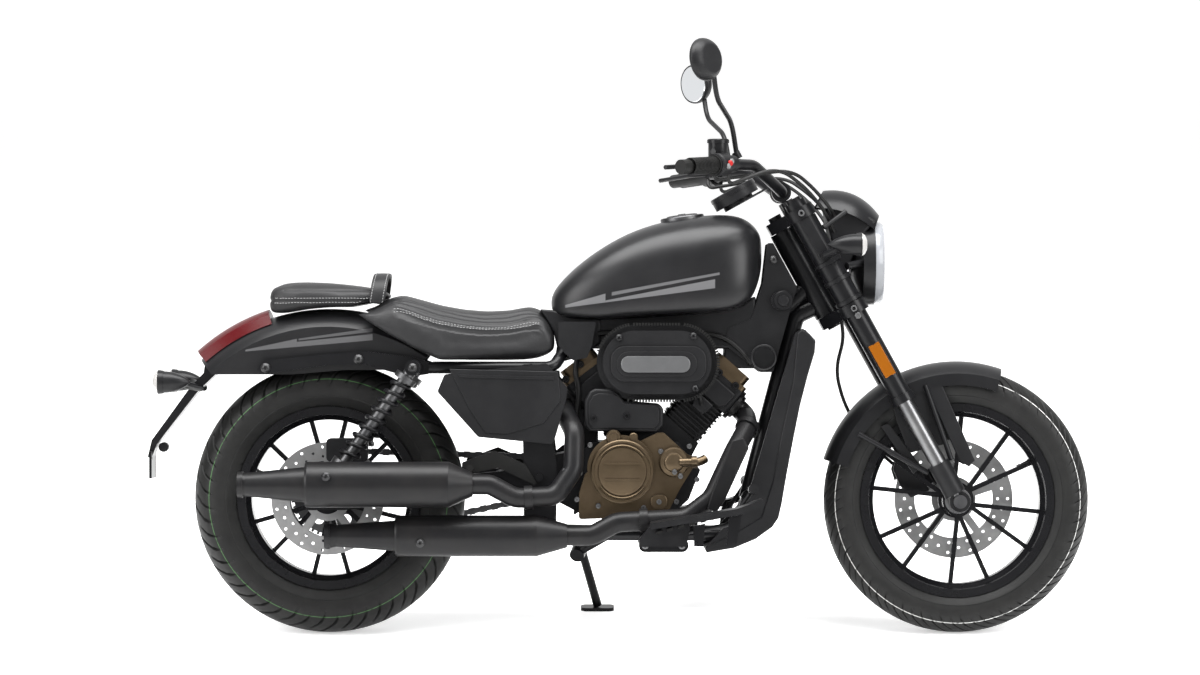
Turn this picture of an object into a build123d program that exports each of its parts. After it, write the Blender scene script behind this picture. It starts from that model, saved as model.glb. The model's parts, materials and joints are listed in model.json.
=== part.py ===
from build123d import *
import os
from math import cos, hypot, pi, radians, sin, tan

os.makedirs("parts", exist_ok=True)

# ======================================================================================
# Driving dimensions, in millimetres and degrees.
# The machine frame is upright: x forward from the rear axle, y to the left, z up from
# the ground. PARKED, below, leans every finished piece onto the side stand.
# ======================================================================================
WHEELBASE = 1400.0
LEAN = 8.0
RAKE = 28.9
FORK_OFFSET = 50.0
GAP = 0.3
RUNNING_FIT = 0.05

TYRE_SIDES = 56
EASY_BEND = 0.45
REAR_TYRE_R = 302.0
REAR_TYRE_W = 140.0
REAR_SEAT_R = 190.5
REAR_BEAD_W = 102.0
REAR_CROWN_R = 84.0
FRONT_TYRE_R = 296.0
FRONT_TYRE_W = 116.0
FRONT_SEAT_R = 203.2
FRONT_BEAD_W = 84.0
FRONT_CROWN_R = 68.0
FLANGE_H = 13.0
SPOKES = 12
SPOKE_W = 10.0
SPOKE_OFFSET = 7.0
AXLE_R = 8.5
HUB_R = 34.0

CRANK_X = 720.0
CRANK_Z = 385.0
SEAT_Z = 715.0
PIVOT_X = 470.0
PIVOT_Z = 350.0
ARM_Y = 118.0
RAIL_Y = 104.0

LEG_Y = 100.0
FORK_TUBE_R = 24.0
SLIDER_R = 18.5
UPPER_YOKE_S = 728.0
LOWER_YOKE_S = 488.0
YOKE_T = 26.0
STEM_R = 15.0
HEAD_TUBE_R = 29.0

BAR_R = 12.7
BAR_END_Y = 398.0
MIRROR_Y = 430.0
MIRROR_Z = 1253.0
LAMP_R = 85.0
GAUGE_R = 53.0

UPPER_SILENCER_Y = -232.0
LOWER_SILENCER_Y = -202.0
SILENCER_WALL = 3.0
PIPE_R = 22.0

CHAIN_Y = 92.0
SPROCKET_R = 94.0
FRONT_SPROCKET_R = 30.0
CHAIN_GAP = 1.5
STAND_PIVOT = Vector(560, 150, 185)
STAND_FOOT_X = 598.0
STAND_FOOT_Y = 246.0
STAND_BOLT_R = 6.0
STAND_EYE_R = 17.0
STAND_LEG_R = 10.0
STAND_EYE_HALF = 12.5
STAND_FOLDED = Vector(-0.96, 0.26, 0.03)

# ======================================================================================
# Places worked out from them
# ======================================================================================
REAR = (0.0, 0.0, REAR_TYRE_R)
FRONT = (WHEELBASE, 0.0, FRONT_TYRE_R)
PLATE_X = -402.0
CENTRE_X = (PLATE_X + WHEELBASE + FRONT_TYRE_R) / 2
CONTACT_Y = -MIRROR_Z * sin(radians(LEAN))
CONTACT_DROP = REAR_CROWN_R * (1 - cos(radians(LEAN)))
PARKED = Location((-CENTRE_X, CONTACT_Y, CONTACT_DROP), (-LEAN, 0, 0))
STAND_FOOT = Vector(STAND_FOOT_X, STAND_FOOT_Y,
                    STAND_FOOT_Y * tan(radians(LEAN)) - CONTACT_DROP / cos(radians(LEAN)))
STAND_AXIS = (STAND_FOOT - STAND_PIVOT).cross(STAND_FOLDED).normalized()

# the fork's own directions: f forward of the leg axis, s up along it from the front axle
FORK = Plane(
    origin=FRONT,
    x_dir=(cos(radians(RAKE)), 0, sin(radians(RAKE))),
    z_dir=(-sin(radians(RAKE)), 0, cos(radians(RAKE))),
)


def fork_point(f, y, s):
    """The machine-frame point at f forward of the fork legs, y left and s up from the axle."""
    return FORK.from_local_coords(Vector(f, y, s))


def rod(start, end, radius):
    """Add a straight round bar from start to end."""
    start, end = Vector(*start), Vector(*end)
    with Locations(Plane(origin=start, z_dir=end - start)):
        Cylinder(radius, (end - start).length, align=(Align.CENTER, Align.CENTER, Align.MIN))


def bore(start, end, radius):
    """Cut a straight round hole from start to end."""
    start, end = Vector(*start), Vector(*end)
    with Locations(Plane(origin=start, z_dir=end - start)):
        Cylinder(radius, (end - start).length, align=(Align.CENTER, Align.CENTER, Align.MIN),
                 mode=Mode.SUBTRACT)


def pipe(points, bends, radius, hollow=0, mode=Mode.ADD):
    """Add or cut a bent tube along points, each corner rounded to its own radius."""
    with BuildLine() as route:
        FilletPolyline(*points, radius=bends)
    with BuildSketch(Plane(origin=route.line @ 0, z_dir=route.line % 0)) as section:
        Circle(radius)
        if hollow:
            Circle(hollow, mode=Mode.SUBTRACT)
    sweep(section.sketch, path=route.line, mode=mode)


def loose_pipe(points, radius):
    """Add a tube that turns at each point by as wide an arc as its two runs allow."""
    bends = []
    for before, corner, after in zip(points, points[1:], points[2:]):
        turn = radians((corner - before).get_angle(after - corner))
        bends.append(EASY_BEND * min((corner - before).length, (after - corner).length) / tan(turn / 2))
    pipe(points, bends, radius)


def plate(outline, low, high, corner=0, mode=Mode.ADD):
    """Add a slab with a side outline of (x, z) points, between two distances left of centre."""
    with BuildSketch(Plane.XZ.offset(-high)) as shape:
        with BuildLine():
            Polyline(*outline, close=True)
        make_face()
        if corner:
            fillet(shape.vertices(), corner)
    extrude(shape.sketch, amount=high - low, mode=mode)


def ring(centre, outline):
    """Turn an outline of (y, radius) points about the cross axis through centre."""
    with BuildSketch(Plane.YZ.offset(centre[0])) as half:
        with BuildLine():
            Polyline(*[(y, centre[2] + r) for y, r in outline], close=True)
        make_face()
    revolve(half.sketch, axis=Axis(centre, (0, 1, 0)))


def about(centre, radius, angle):
    """The (x, z) point at a radius and an angle, from forward towards up, about centre."""
    return centre[0] + radius * cos(radians(angle)), centre[2] + radius * sin(radians(angle))


def finish(builder, label):
    """Label a finished piece, lean it onto its stand and write it."""
    builder.part.label = label
    builder.part.locate(PARKED)
    export_step(builder.part, f"parts/{label}.step")


# ======================================================================================
# Wheels
# ======================================================================================
def tyre(centre, radius, width, seat_r, bead_w, crown_r):
    """Add a tyre of flat facets: its outside lofted across, less the room for the rim."""
    height = radius - seat_r
    wide = (width / 2, radius - 0.46 * height)
    crown = [(crown_r * sin(radians(a)), radius - crown_r * (1 - cos(radians(a)))) for a in (42, 14)]
    right = [wide] + crown
    outside = [(-y, r) for y, r in right] + [(0, radius)] + right[::-1]
    bead = bead_w / 2 - GAP
    flank = [(width / 2, wide[1] - 8), (bead, (seat_r + FLANGE_H + GAP) / cos(pi / TYRE_SIDES))]
    for stations, mode in ((outside, Mode.ADD), (flank, Mode.SUBTRACT), ([(-y, r) for y, r in flank], Mode.SUBTRACT)):
        hoops = []
        for y, r in stations:
            spots = [about(centre, r, 360 * k / TYRE_SIDES) for k in range(TYRE_SIDES)]
            hoops.append(Wire.make_polygon([Vector(x, y, z) for x, z in spots], close=True))
        add(Solid.make_loft(hoops, True), mode=mode)
    with BuildSketch(Plane(origin=centre, x_dir=(1, 0, 0), z_dir=(0, 1, 0))) as room:
        RegularPolygon(seat_r + GAP, TYRE_SIDES, major_radius=False)
    extrude(room.sketch, amount=bead + 1, both=True, mode=Mode.SUBTRACT)


def rim_outline(seat_r, bead_w):
    """The rim's barrel: a flange at each side, the bead seats and the well between them."""
    flange_w = 4.0
    well_d = 12.0
    wall = 5.0
    half = bead_w / 2
    well = half - 22
    outer = [(half + flange_w, seat_r + FLANGE_H), (half, seat_r + FLANGE_H), (half, seat_r)]
    outer += [(well + 6, seat_r), (well, seat_r - well_d)]
    inner = [(well, seat_r - well_d - wall), (well + 10, seat_r - wall - 3), (half + flange_w, seat_r - wall)]
    right = inner + outer
    left = [(-y, r) for y, r in reversed(right)]
    return right + left


def spoked_rim(centre, seat_r, bead_w, hub_w, phase):
    """A one-piece cast wheel: barrel, hub and straight spokes set alternately off centre."""
    ring(centre, rim_outline(seat_r, bead_w))
    reach = seat_r - 15.0
    flat = Plane(origin=centre, x_dir=(1, 0, 0), z_dir=(0, -1, 0))
    with BuildSketch(flat.offset(-9)) as star:
        Circle(HUB_R + 6)
        for k in range(SPOKES):
            side = SPOKE_OFFSET if k % 2 else -SPOKE_OFFSET
            with Locations(Rotation(0, 0, phase + k * 360 / SPOKES)):
                with Locations((reach / 2, side)):
                    Rectangle(reach, SPOKE_W)
    extrude(star.sketch, amount=18)
    rod((centre[0], -hub_w / 2, centre[2]), (centre[0], hub_w / 2, centre[2]), HUB_R)
    bore((centre[0], -hub_w, centre[2]), (centre[0], hub_w, centre[2]), AXLE_R + RUNNING_FIT)


def brake_disc(centre, y, outer_r, inner_r, carrier_r, thick):
    """A perforated disc on its five-armed carrier."""
    arms = 5
    hole_rows = 3
    holes = 30
    hole_r = 3.2
    flat = Plane(origin=(centre[0], y, centre[2]), x_dir=(1, 0, 0), z_dir=(0, -1, 0))
    with BuildSketch(flat.offset(-thick / 2)) as shape:
        Circle(outer_r)
        Circle(inner_r, mode=Mode.SUBTRACT)
        for row in range(hole_rows):
            row_r = inner_r + (outer_r - inner_r) * (row + 1) / (hole_rows + 1)
            with PolarLocations(row_r, holes // 2, start_angle=row * 360 / holes):
                Circle(hole_r, mode=Mode.SUBTRACT)
        for k in range(arms):
            with Locations(Rotation(0, 0, 90 + k * 360 / arms)):
                with Locations((inner_r / 2 + 2, 0)):
                    Rectangle(inner_r + 4, 17)
        Circle(carrier_r)
        Circle(HUB_R + GAP, mode=Mode.SUBTRACT)
    extrude(shape.sketch, amount=thick)


FRONT_HUB_W = 124.0
REAR_HUB_W = 200.0
DISC_T = 4.5
FRONT_DISC_Y = 56.0
REAR_DISC_Y = -86.0

with BuildPart() as front_rim:
    spoked_rim(FRONT, FRONT_SEAT_R, FRONT_BEAD_W, FRONT_HUB_W, -6)
finish(front_rim, "front_rim")

with BuildPart() as front_tyre:
    tyre(FRONT, FRONT_TYRE_R, FRONT_TYRE_W, FRONT_SEAT_R, FRONT_BEAD_W, FRONT_CROWN_R)
finish(front_tyre, "front_tyre")

with BuildPart() as front_disc:
    brake_disc(FRONT, FRONT_DISC_Y, 133, 88, 50, DISC_T)
finish(front_disc, "front_disc")

with BuildPart() as rear_rim:
    spoked_rim(REAR, REAR_SEAT_R, REAR_BEAD_W, REAR_HUB_W, -14)
finish(rear_rim, "rear_rim")

with BuildPart() as rear_tyre:
    tyre(REAR, REAR_TYRE_R, REAR_TYRE_W, REAR_SEAT_R, REAR_BEAD_W, REAR_CROWN_R)
finish(rear_tyre, "rear_tyre")

with BuildPart() as rear_disc:
    brake_disc(REAR, REAR_DISC_Y, 125, 84, 50, DISC_T)
finish(rear_disc, "rear_disc")

SPROCKET_T = 7.0
SPROCKET_TEETH = 42
with BuildPart() as rear_sprocket:
    with BuildSketch(Plane(origin=(0, CHAIN_Y + SPROCKET_T / 2, REAR_TYRE_R), x_dir=(1, 0, 0), z_dir=(0, -1, 0))) as teeth:
        Circle(SPROCKET_R - 6)
        with PolarLocations(SPROCKET_R - 6, SPROCKET_TEETH):
            Rectangle(12, 6)
        with PolarLocations(62, 6):
            Circle(11, mode=Mode.SUBTRACT)
        Circle(HUB_R + GAP, mode=Mode.SUBTRACT)
    extrude(teeth.sketch, amount=SPROCKET_T)
finish(rear_sprocket, "rear_sprocket")

# ======================================================================================
# Steering: everything that turns with the fork
# ======================================================================================
STEM_F = -FORK_OFFSET
STEM_BOTTOM_S = LOWER_YOKE_S - YOKE_T / 2
STEM_TOP_S = UPPER_YOKE_S + YOKE_T / 2
RISER_F = -12.0
RISER_Y = 42.0
BAR_CLAMP_T = 9.0
BAR_S = STEM_TOP_S + 49.0
COLLAR_S = 258.0
CLAMP_TOP_S = 96.0
COVER_R = 28.5
SLIDER_LOW_S = 16.0

with BuildPart() as yokes:
    for s in (LOWER_YOKE_S, UPPER_YOKE_S):
        with BuildSketch(FORK.offset(s - YOKE_T / 2)) as plan:
            with BuildLine():
                Polyline((22, -LEG_Y), (22, LEG_Y), (-22, LEG_Y), (STEM_F - 26, 30), (STEM_F - 26, -30),
                         (-22, -LEG_Y), close=True)
            make_face()
            with Locations((0, -LEG_Y), (0, LEG_Y)):
                Circle(FORK_TUBE_R + 9)
            with Locations((0, -LEG_Y), (0, LEG_Y)):
                Circle(FORK_TUBE_R + GAP, mode=Mode.SUBTRACT)
        extrude(plan.sketch, amount=YOKE_T)
    rod(fork_point(STEM_F, 0, STEM_BOTTOM_S - 6), fork_point(STEM_F, 0, STEM_TOP_S + 10), STEM_R)
    for y in (-RISER_Y, RISER_Y):
        rod(fork_point(RISER_F, y, UPPER_YOKE_S), fork_point(RISER_F, y, BAR_S - BAR_R - BAR_CLAMP_T - GAP), 15)
finish(yokes, "yokes")

with BuildPart() as fork_tubes:
    for y in (-LEG_Y, LEG_Y):
        rod(fork_point(0, y, COLLAR_S), fork_point(0, y, STEM_TOP_S + 16), FORK_TUBE_R)
        rod(fork_point(0, y, STEM_TOP_S + 16), fork_point(0, y, STEM_TOP_S + 24), FORK_TUBE_R - 7)
        rod(fork_point(0, y, COLLAR_S - 6), fork_point(0, y, COLLAR_S + 12), FORK_TUBE_R + 3)
        rod(fork_point(0, y, LOWER_YOKE_S + YOKE_T / 2 + GAP),
            fork_point(0, y, UPPER_YOKE_S - YOKE_T / 2 - GAP), COVER_R)
        bore(fork_point(0, y, COLLAR_S - 20), fork_point(0, y, COLLAR_S + 60), SLIDER_R + GAP)
finish(fork_tubes, "fork_tubes")

with BuildPart() as fork_sliders:
    for y in (-LEG_Y, LEG_Y):
        rod(fork_point(0, y, SLIDER_LOW_S), fork_point(0, y, COLLAR_S + 60), SLIDER_R)
finish(fork_sliders, "fork_sliders")

AXLE_CLAMP_R = 23.0
AXLE_CLAMP_W = 36.0
with BuildPart() as fork_feet:
    for y in (-LEG_Y, LEG_Y):
        rod(fork_point(0, y, 20), fork_point(0, y, CLAMP_TOP_S), SLIDER_R + 6)
        rod((FRONT[0], y - AXLE_CLAMP_W / 2, FRONT[2]), (FRONT[0], y + AXLE_CLAMP_W / 2, FRONT[2]), AXLE_CLAMP_R)
        bore((FRONT[0], y - AXLE_CLAMP_W, FRONT[2]), (FRONT[0], y + AXLE_CLAMP_W, FRONT[2]), AXLE_R + GAP)
        bore(fork_point(0, y, SLIDER_LOW_S - GAP), fork_point(0, y, CLAMP_TOP_S + 5), SLIDER_R + GAP)
finish(fork_feet, "fork_feet")

with BuildPart() as front_axle:
    rod((FRONT[0], -LEG_Y - 24, FRONT[2]), (FRONT[0], LEG_Y + 24, FRONT[2]), AXLE_R)
    for side in (-1, 1):
        rod((FRONT[0], side * (FRONT_HUB_W / 2 + 1), FRONT[2]),
            (FRONT[0], side * (LEG_Y - AXLE_CLAMP_W / 2 - GAP), FRONT[2]), 14)
        rod((FRONT[0], side * (LEG_Y + AXLE_CLAMP_W / 2 + GAP), FRONT[2]),
            (FRONT[0], side * (LEG_Y + AXLE_CLAMP_W / 2 + 9), FRONT[2]), 15)
finish(front_axle, "front_axle")

BAR_ROUTE = [(RISER_F, 0, BAR_S), (RISER_F, 84, BAR_S), (-45, 205, BAR_S + 80), (-103, 300, BAR_S + 110),
             (-179, BAR_END_Y, BAR_S + 142)]
HOUSING = (-103, 300, BAR_S + 110)

with BuildPart() as handlebar:
    for side in (-1, 1):
        pipe([fork_point(f, side * y, s) for f, y, s in BAR_ROUTE], [60, 80, 60], BAR_R)
    for y in (-RISER_Y, RISER_Y):
        rod(fork_point(RISER_F, y - 13, BAR_S), fork_point(RISER_F, y + 13, BAR_S), BAR_R + BAR_CLAMP_T)
finish(handlebar, "handlebar")


def bar_point(side, distance, up=0.0, ahead=0.0):
    """A point at a distance outboard along the grip run, from its inner bend; side is -1 or 1."""
    inner = fork_point(HOUSING[0], side * HOUSING[1], HOUSING[2])
    outer = fork_point(BAR_ROUTE[-1][0], side * BAR_ROUTE[-1][1], BAR_ROUTE[-1][2])
    run = (outer - inner).normalized()
    across = run.cross(Vector(0, 0, 1)).normalized() * side
    over = across.cross(run).normalized() * side
    return inner + run * distance - across * ahead + over * up


GRIP_START = 42.0
GRIP_END = 128.0
GRIP_R = 17.0
with BuildPart() as grips:
    for side in (-1, 1):
        rod(bar_point(side, GRIP_START), bar_point(side, GRIP_END), GRIP_R)
        rod(bar_point(side, GRIP_START - 4), bar_point(side, GRIP_START), GRIP_R + 5)
        rod(bar_point(side, GRIP_END), bar_point(side, GRIP_END + 26), BAR_R + 3)
        bore(bar_point(side, GRIP_START - 5), bar_point(side, GRIP_END + 2), BAR_R + GAP)
finish(grips, "grips")

HOUSING_R = 24.0
LEVER_R = 5.0
with BuildPart() as controls:
    for side in (-1, 1):
        rod(bar_point(side, 6), bar_point(side, GRIP_START - 4 - GAP), HOUSING_R)
        rod(bar_point(side, -26), bar_point(side, -2), HOUSING_R - 5)
        rod(bar_point(side, -14, 0, 8), bar_point(side, -14, 0, 44), 11)
        pipe([bar_point(side, -14, 0, 40), bar_point(side, 24, 0, 58), bar_point(side, GRIP_END + 16, 0, 50)],
             [40], LEVER_R)
        pipe([fork_point(f, side * y, s) for f, y, s in BAR_ROUTE], [60, 80, 60], BAR_R + GAP,
             mode=Mode.SUBTRACT)
    rod(bar_point(-1, -12, 12, 26), bar_point(-1, -12, 48, 26), 20)
finish(controls, "controls")

MIRROR_BASE = (-68, 243, BAR_S + 92 + BAR_R + 3.1)
MIRROR_X = 830.0 - WHEELBASE
MIRROR_TURN = 32.0
# how far in front of the glass, half width and half height
MIRROR_SHELL = [(-9, 54, 45), (-3, 57, 46), (8, 52, 42), (17, 38, 31)]
with BuildPart() as mirrors:
    for side in (-1, 1):
        base = fork_point(MIRROR_BASE[0], side * MIRROR_BASE[1], MIRROR_BASE[2])
        back = Vector(WHEELBASE + MIRROR_X, side * MIRROR_Y, MIRROR_Z)
        hub = back + Vector(14, -side * 10, -8)
        rod(base, base + FORK.z_dir * 16, 9)
        pipe([base + FORK.z_dir * 10, base + Vector(-16, side * 20, 76), hub + Vector(10, -side * 26, -74), hub],
             [60, 60], 5.5)
        turn = radians(side * MIRROR_TURN)
        facing = Vector(cos(turn), sin(turn), 0.08)
        for depth, wide, tall in MIRROR_SHELL:
            with BuildSketch(Plane(origin=back + facing * depth, x_dir=(-sin(turn), cos(turn), 0), z_dir=facing)):
                Ellipse(wide, tall)
        loft()
finish(mirrors, "mirrors")

GAUGE_F = -104.0
GAUGE_S = BAR_S + 32
GAUGE_T = 24.0
GAUGE_ARM_S = BAR_S + BAR_R + BAR_CLAMP_T + GAP
with BuildPart() as gauge:
    rod(fork_point(GAUGE_F, 0, GAUGE_S), fork_point(GAUGE_F, 0, GAUGE_S + GAUGE_T), GAUGE_R)
    rod(fork_point(GAUGE_F, 0, GAUGE_ARM_S), fork_point(GAUGE_F, 0, GAUGE_S), GAUGE_R - 17)
    with BuildSketch(FORK.offset(GAUGE_ARM_S)) as arm:
        with Locations(((GAUGE_F + RISER_F + 8) / 2, 0)):
            Rectangle(RISER_F + 8 - GAUGE_F, 2 * RISER_Y + 12)
    extrude(arm.sketch, amount=4)
finish(gauge, "gauge")

LAMP_F = 81.0
LAMP_S = 561.0
LAMP_T = 74.0
LAMP = Plane(origin=fork_point(LAMP_F, 0, LAMP_S), x_dir=(0, 1, 0), z_dir=(1, 0, 0))
LENS_T = 12.0
with BuildPart() as headlamp:
    with BuildSketch(Plane(origin=LAMP.origin, x_dir=(1, 0, 0), z_dir=(0, -1, 0))) as bowl:
        with BuildLine():
            Line((-LAMP_T / 2, 0), (LAMP_T / 2 - LENS_T - GAP, 0))
            Line((LAMP_T / 2 - LENS_T - GAP, 0), (LAMP_T / 2 - LENS_T - GAP, LAMP_R))
            Line((LAMP_T / 2 - LENS_T - GAP, LAMP_R), (LAMP_T / 2 - LENS_T - 22, LAMP_R))
            ThreePointArc((LAMP_T / 2 - LENS_T - 22, LAMP_R), (-LAMP_T / 2 + 10, LAMP_R * 0.72), (-LAMP_T / 2, 34))
            Line((-LAMP_T / 2, 34), (-LAMP_T / 2, 0))
        make_face()
    revolve(bowl.sketch, axis=Axis(LAMP.origin, (1, 0, 0)))
    for side in (-1, 1):
        ear = fork_point(COVER_R + 5.1, side * LEG_Y, LAMP_S + 16)
        rod(LAMP.origin + Vector(-6, side * (LAMP_R - 18), 0), ear, 8)
finish(headlamp, "headlamp")

CABLE_R = 4.0
# ahead, to the side and up on the fork, from the bar's housings to the back of the headlamp
# first two places along, above and ahead of the bar's inner bend, then ahead, to the side and up on the fork
CABLE_ROUTES = [
    ([(-14, -15, 2), (-26, -46, 14)], [(-2, 228, 842), (34, 158, 772), (50, 96, 706), (46, 56, 640), (60, 20, 586)]),
    ([(-10, -7, 38), (-20, -34, 48)], [(24, 196, 822), (52, 134, 758), (66, 78, 694), (60, 40, 640), (66, 8, 592)]),
]
HOSE_ROUTE = [(-24, 62, LOWER_YOKE_S - YOKE_T / 2 + 4), (-42, 70, LOWER_YOKE_S - 54), (-92, 86, 380),
              (-112, 93, 300), (-106, 88, 200), (-76, 66, 122)]

with BuildPart() as headlamp_lens:
    with BuildSketch(LAMP.offset(LAMP_T / 2 - LENS_T)) as rim:
        Circle(LAMP_R)
    extrude(rim.sketch, amount=LENS_T)
    fillet(headlamp_lens.edges().sort_by(Axis.X)[-1], LENS_T * 0.75)
finish(headlamp_lens, "headlamp_lens")

COWL_HALF = 84.0
COWL_T = 4.0
COWL_BACK = (60, 738)
COWL_TIP = (149, 634)
with BuildPart() as lamp_cowl:
    for f, s, half, rise in [(COWL_BACK[0], COWL_BACK[1], COWL_HALF - 20, 18), (112, 696, COWL_HALF, 22),
                             (COWL_TIP[0], COWL_TIP[1], COWL_HALF - 14, 10)]:
        with BuildSketch(Plane(origin=fork_point(f, 0, s), x_dir=(0, 1, 0), z_dir=(0.9, 0, -0.42))) as arch:
            with BuildLine():
                ThreePointArc((-half, -26), (0, rise), (half, -26))
                Line((half, -26), (half - COWL_T, -26))
                ThreePointArc((half - COWL_T, -26), (0, rise - COWL_T), (-half + COWL_T, -26))
                Line((-half + COWL_T, -26), (-half, -26))
            make_face()
    loft()
    for side in (-1, 1):
        rod(fork_point(COVER_R + 1.5, side * LEG_Y, 676), fork_point(92, side * (COWL_HALF - COWL_T / 2), 684), 5)
finish(lamp_cowl, "lamp_cowl")

SIGNAL_R = 26.0
FRONT_SIGNAL_Y = 196.0
with BuildPart() as front_signals:
    for side in (-1, 1):
        centre = fork_point(46, side * FRONT_SIGNAL_Y, 622)
        rod(fork_point(0, side * (LEG_Y + COVER_R + GAP), 622), fork_point(0, side * (LEG_Y + COVER_R + 14), 622), 9)
        rod(fork_point(0, side * (LEG_Y + COVER_R + 12), 622), centre - Vector(-6, side * 10, 0), 7)
        nose = Vector(1, 0, 0)
        with BuildSketch(Plane(origin=centre, x_dir=(1, 0, 0), z_dir=(0, -1, 0))) as bullet:
            with BuildLine():
                Line((-38, 0), (36, 0))
                Line((36, 0), (36, SIGNAL_R - 3))
                ThreePointArc((36, SIGNAL_R - 3), (10, SIGNAL_R - 4), (-38, 0))
            make_face()
        revolve(bullet.sketch, axis=Axis(centre, nose))
finish(front_signals, "front_signals")

FENDER_GAP = 11.0
FENDER_T = 3.0
FENDER_HALF = 70.0
FENDER_FROM = 71.0
FENDER_TO = 163.0
with BuildPart() as front_fender:
    inner_r = FRONT_TYRE_R + FENDER_GAP
    with BuildSketch(Plane.YZ.offset(FRONT[0])) as section:
        with BuildLine():
            Line((-FENDER_HALF, FRONT[2] + inner_r - 50), (-FENDER_HALF, FRONT[2] + inner_r - 24))
            ThreePointArc((-FENDER_HALF, FRONT[2] + inner_r - 24), (0, FRONT[2] + inner_r + FENDER_T),
                          (FENDER_HALF, FRONT[2] + inner_r - 24))
            Line((FENDER_HALF, FRONT[2] + inner_r - 24), (FENDER_HALF, FRONT[2] + inner_r - 50))
            Line((FENDER_HALF, FRONT[2] + inner_r - 50), (FENDER_HALF - FENDER_T, FRONT[2] + inner_r - 50))
            Line((FENDER_HALF - FENDER_T, FRONT[2] + inner_r - 50),
                 (FENDER_HALF - FENDER_T, FRONT[2] + inner_r - 25))
            ThreePointArc((FENDER_HALF - FENDER_T, FRONT[2] + inner_r - 25), (0, FRONT[2] + inner_r),
                          (-FENDER_HALF + FENDER_T, FRONT[2] + inner_r - 25))
            Line((-FENDER_HALF + FENDER_T, FRONT[2] + inner_r - 25),
                 (-FENDER_HALF + FENDER_T, FRONT[2] + inner_r - 50))
            Line((-FENDER_HALF + FENDER_T, FRONT[2] + inner_r - 50), (-FENDER_HALF, FRONT[2] + inner_r - 50))
        make_face()
    revolve(section.sketch.rotate(Axis(FRONT, (0, 1, 0)), 90 - FENDER_FROM), axis=Axis(FRONT, (0, 1, 0)),
            revolution_arc=-(FENDER_TO - FENDER_FROM))
    for side in (-1, 1):
        for angle, f in ((146, -SLIDER_R - 10.7), (106, SLIDER_R + 10.7)):
            x, z = about(FRONT, inner_r - 40, angle)
            rod((x, side * (FENDER_HALF - 1), z), fork_point(f, side * (LEG_Y - 10), CLAMP_TOP_S - 8), 6)
finish(front_fender, "front_fender")

with BuildPart() as front_caliper:
    low = fork_point(-62, FRONT_DISC_Y, 92)
    with BuildSketch(Plane(origin=low, x_dir=(1, 0, 0), z_dir=(0, -1, 0)).offset(-22)) as block:
        with Locations(Rotation(0, 0, RAKE)):
            RectangleRounded(52, 96, 12)
    extrude(block.sketch, amount=44)
    with BuildSketch(Plane(origin=FRONT, x_dir=(1, 0, 0), z_dir=(0, -1, 0)).offset(-FRONT_DISC_Y - 4)) as slot:
        Circle(133 + 3)
    extrude(slot.sketch, amount=8, mode=Mode.SUBTRACT)
    rod(fork_point(-SLIDER_R - 6 + GAP, LEG_Y - 14, 70), fork_point(-60, LEG_Y - 14, 70), 8)
    rod(fork_point(-55, LEG_Y - 14, 70), fork_point(-55, FRONT_DISC_Y + 14, 70), 8)
finish(front_caliper, "front_caliper")

with BuildPart() as cables:
    for side in (-1, 1):
        for start, route in CABLE_ROUTES:
            places = [bar_point(side, *place) for place in start]
            loose_pipe(places + [fork_point(f, side * y, s) for f, y, s in route], CABLE_R)
    loose_pipe([fork_point(*place) for place in HOSE_ROUTE], CABLE_R)
    for carrier in (headlamp, controls, handlebar, yokes, front_caliper):
        add(carrier.part.moved(PARKED.inverse()), mode=Mode.SUBTRACT)
finish(cables, "cables")

# ======================================================================================
# Chassis: frame, swingarm and suspension
# ======================================================================================
FRAME_TUBE_R = 20.0
RAIL_R = 13.0
PLATE_Y = 136.0
PLATE_T = 8.0
TANK_FLOOR = 696.0
SPINE_Z = TANK_FLOOR - GAP - FRAME_TUBE_R
SPINE_BACK_X = 548.0
RAIL_Z = 592.0
STRUT_FRONT_X = 225.0
CRADLE_Z = 222.0
CRADLE_Y = 96.0
DOWN_TOP = (1042.0, 708.0)
DOWN_BOTTOM = (934.0, 300.0)
HEAD_LOW = fork_point(STEM_F, 0, LOWER_YOKE_S + YOKE_T / 2 + 1)
HEAD_HIGH = fork_point(STEM_F, 0, UPPER_YOKE_S - YOKE_T / 2 - 1)

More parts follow.
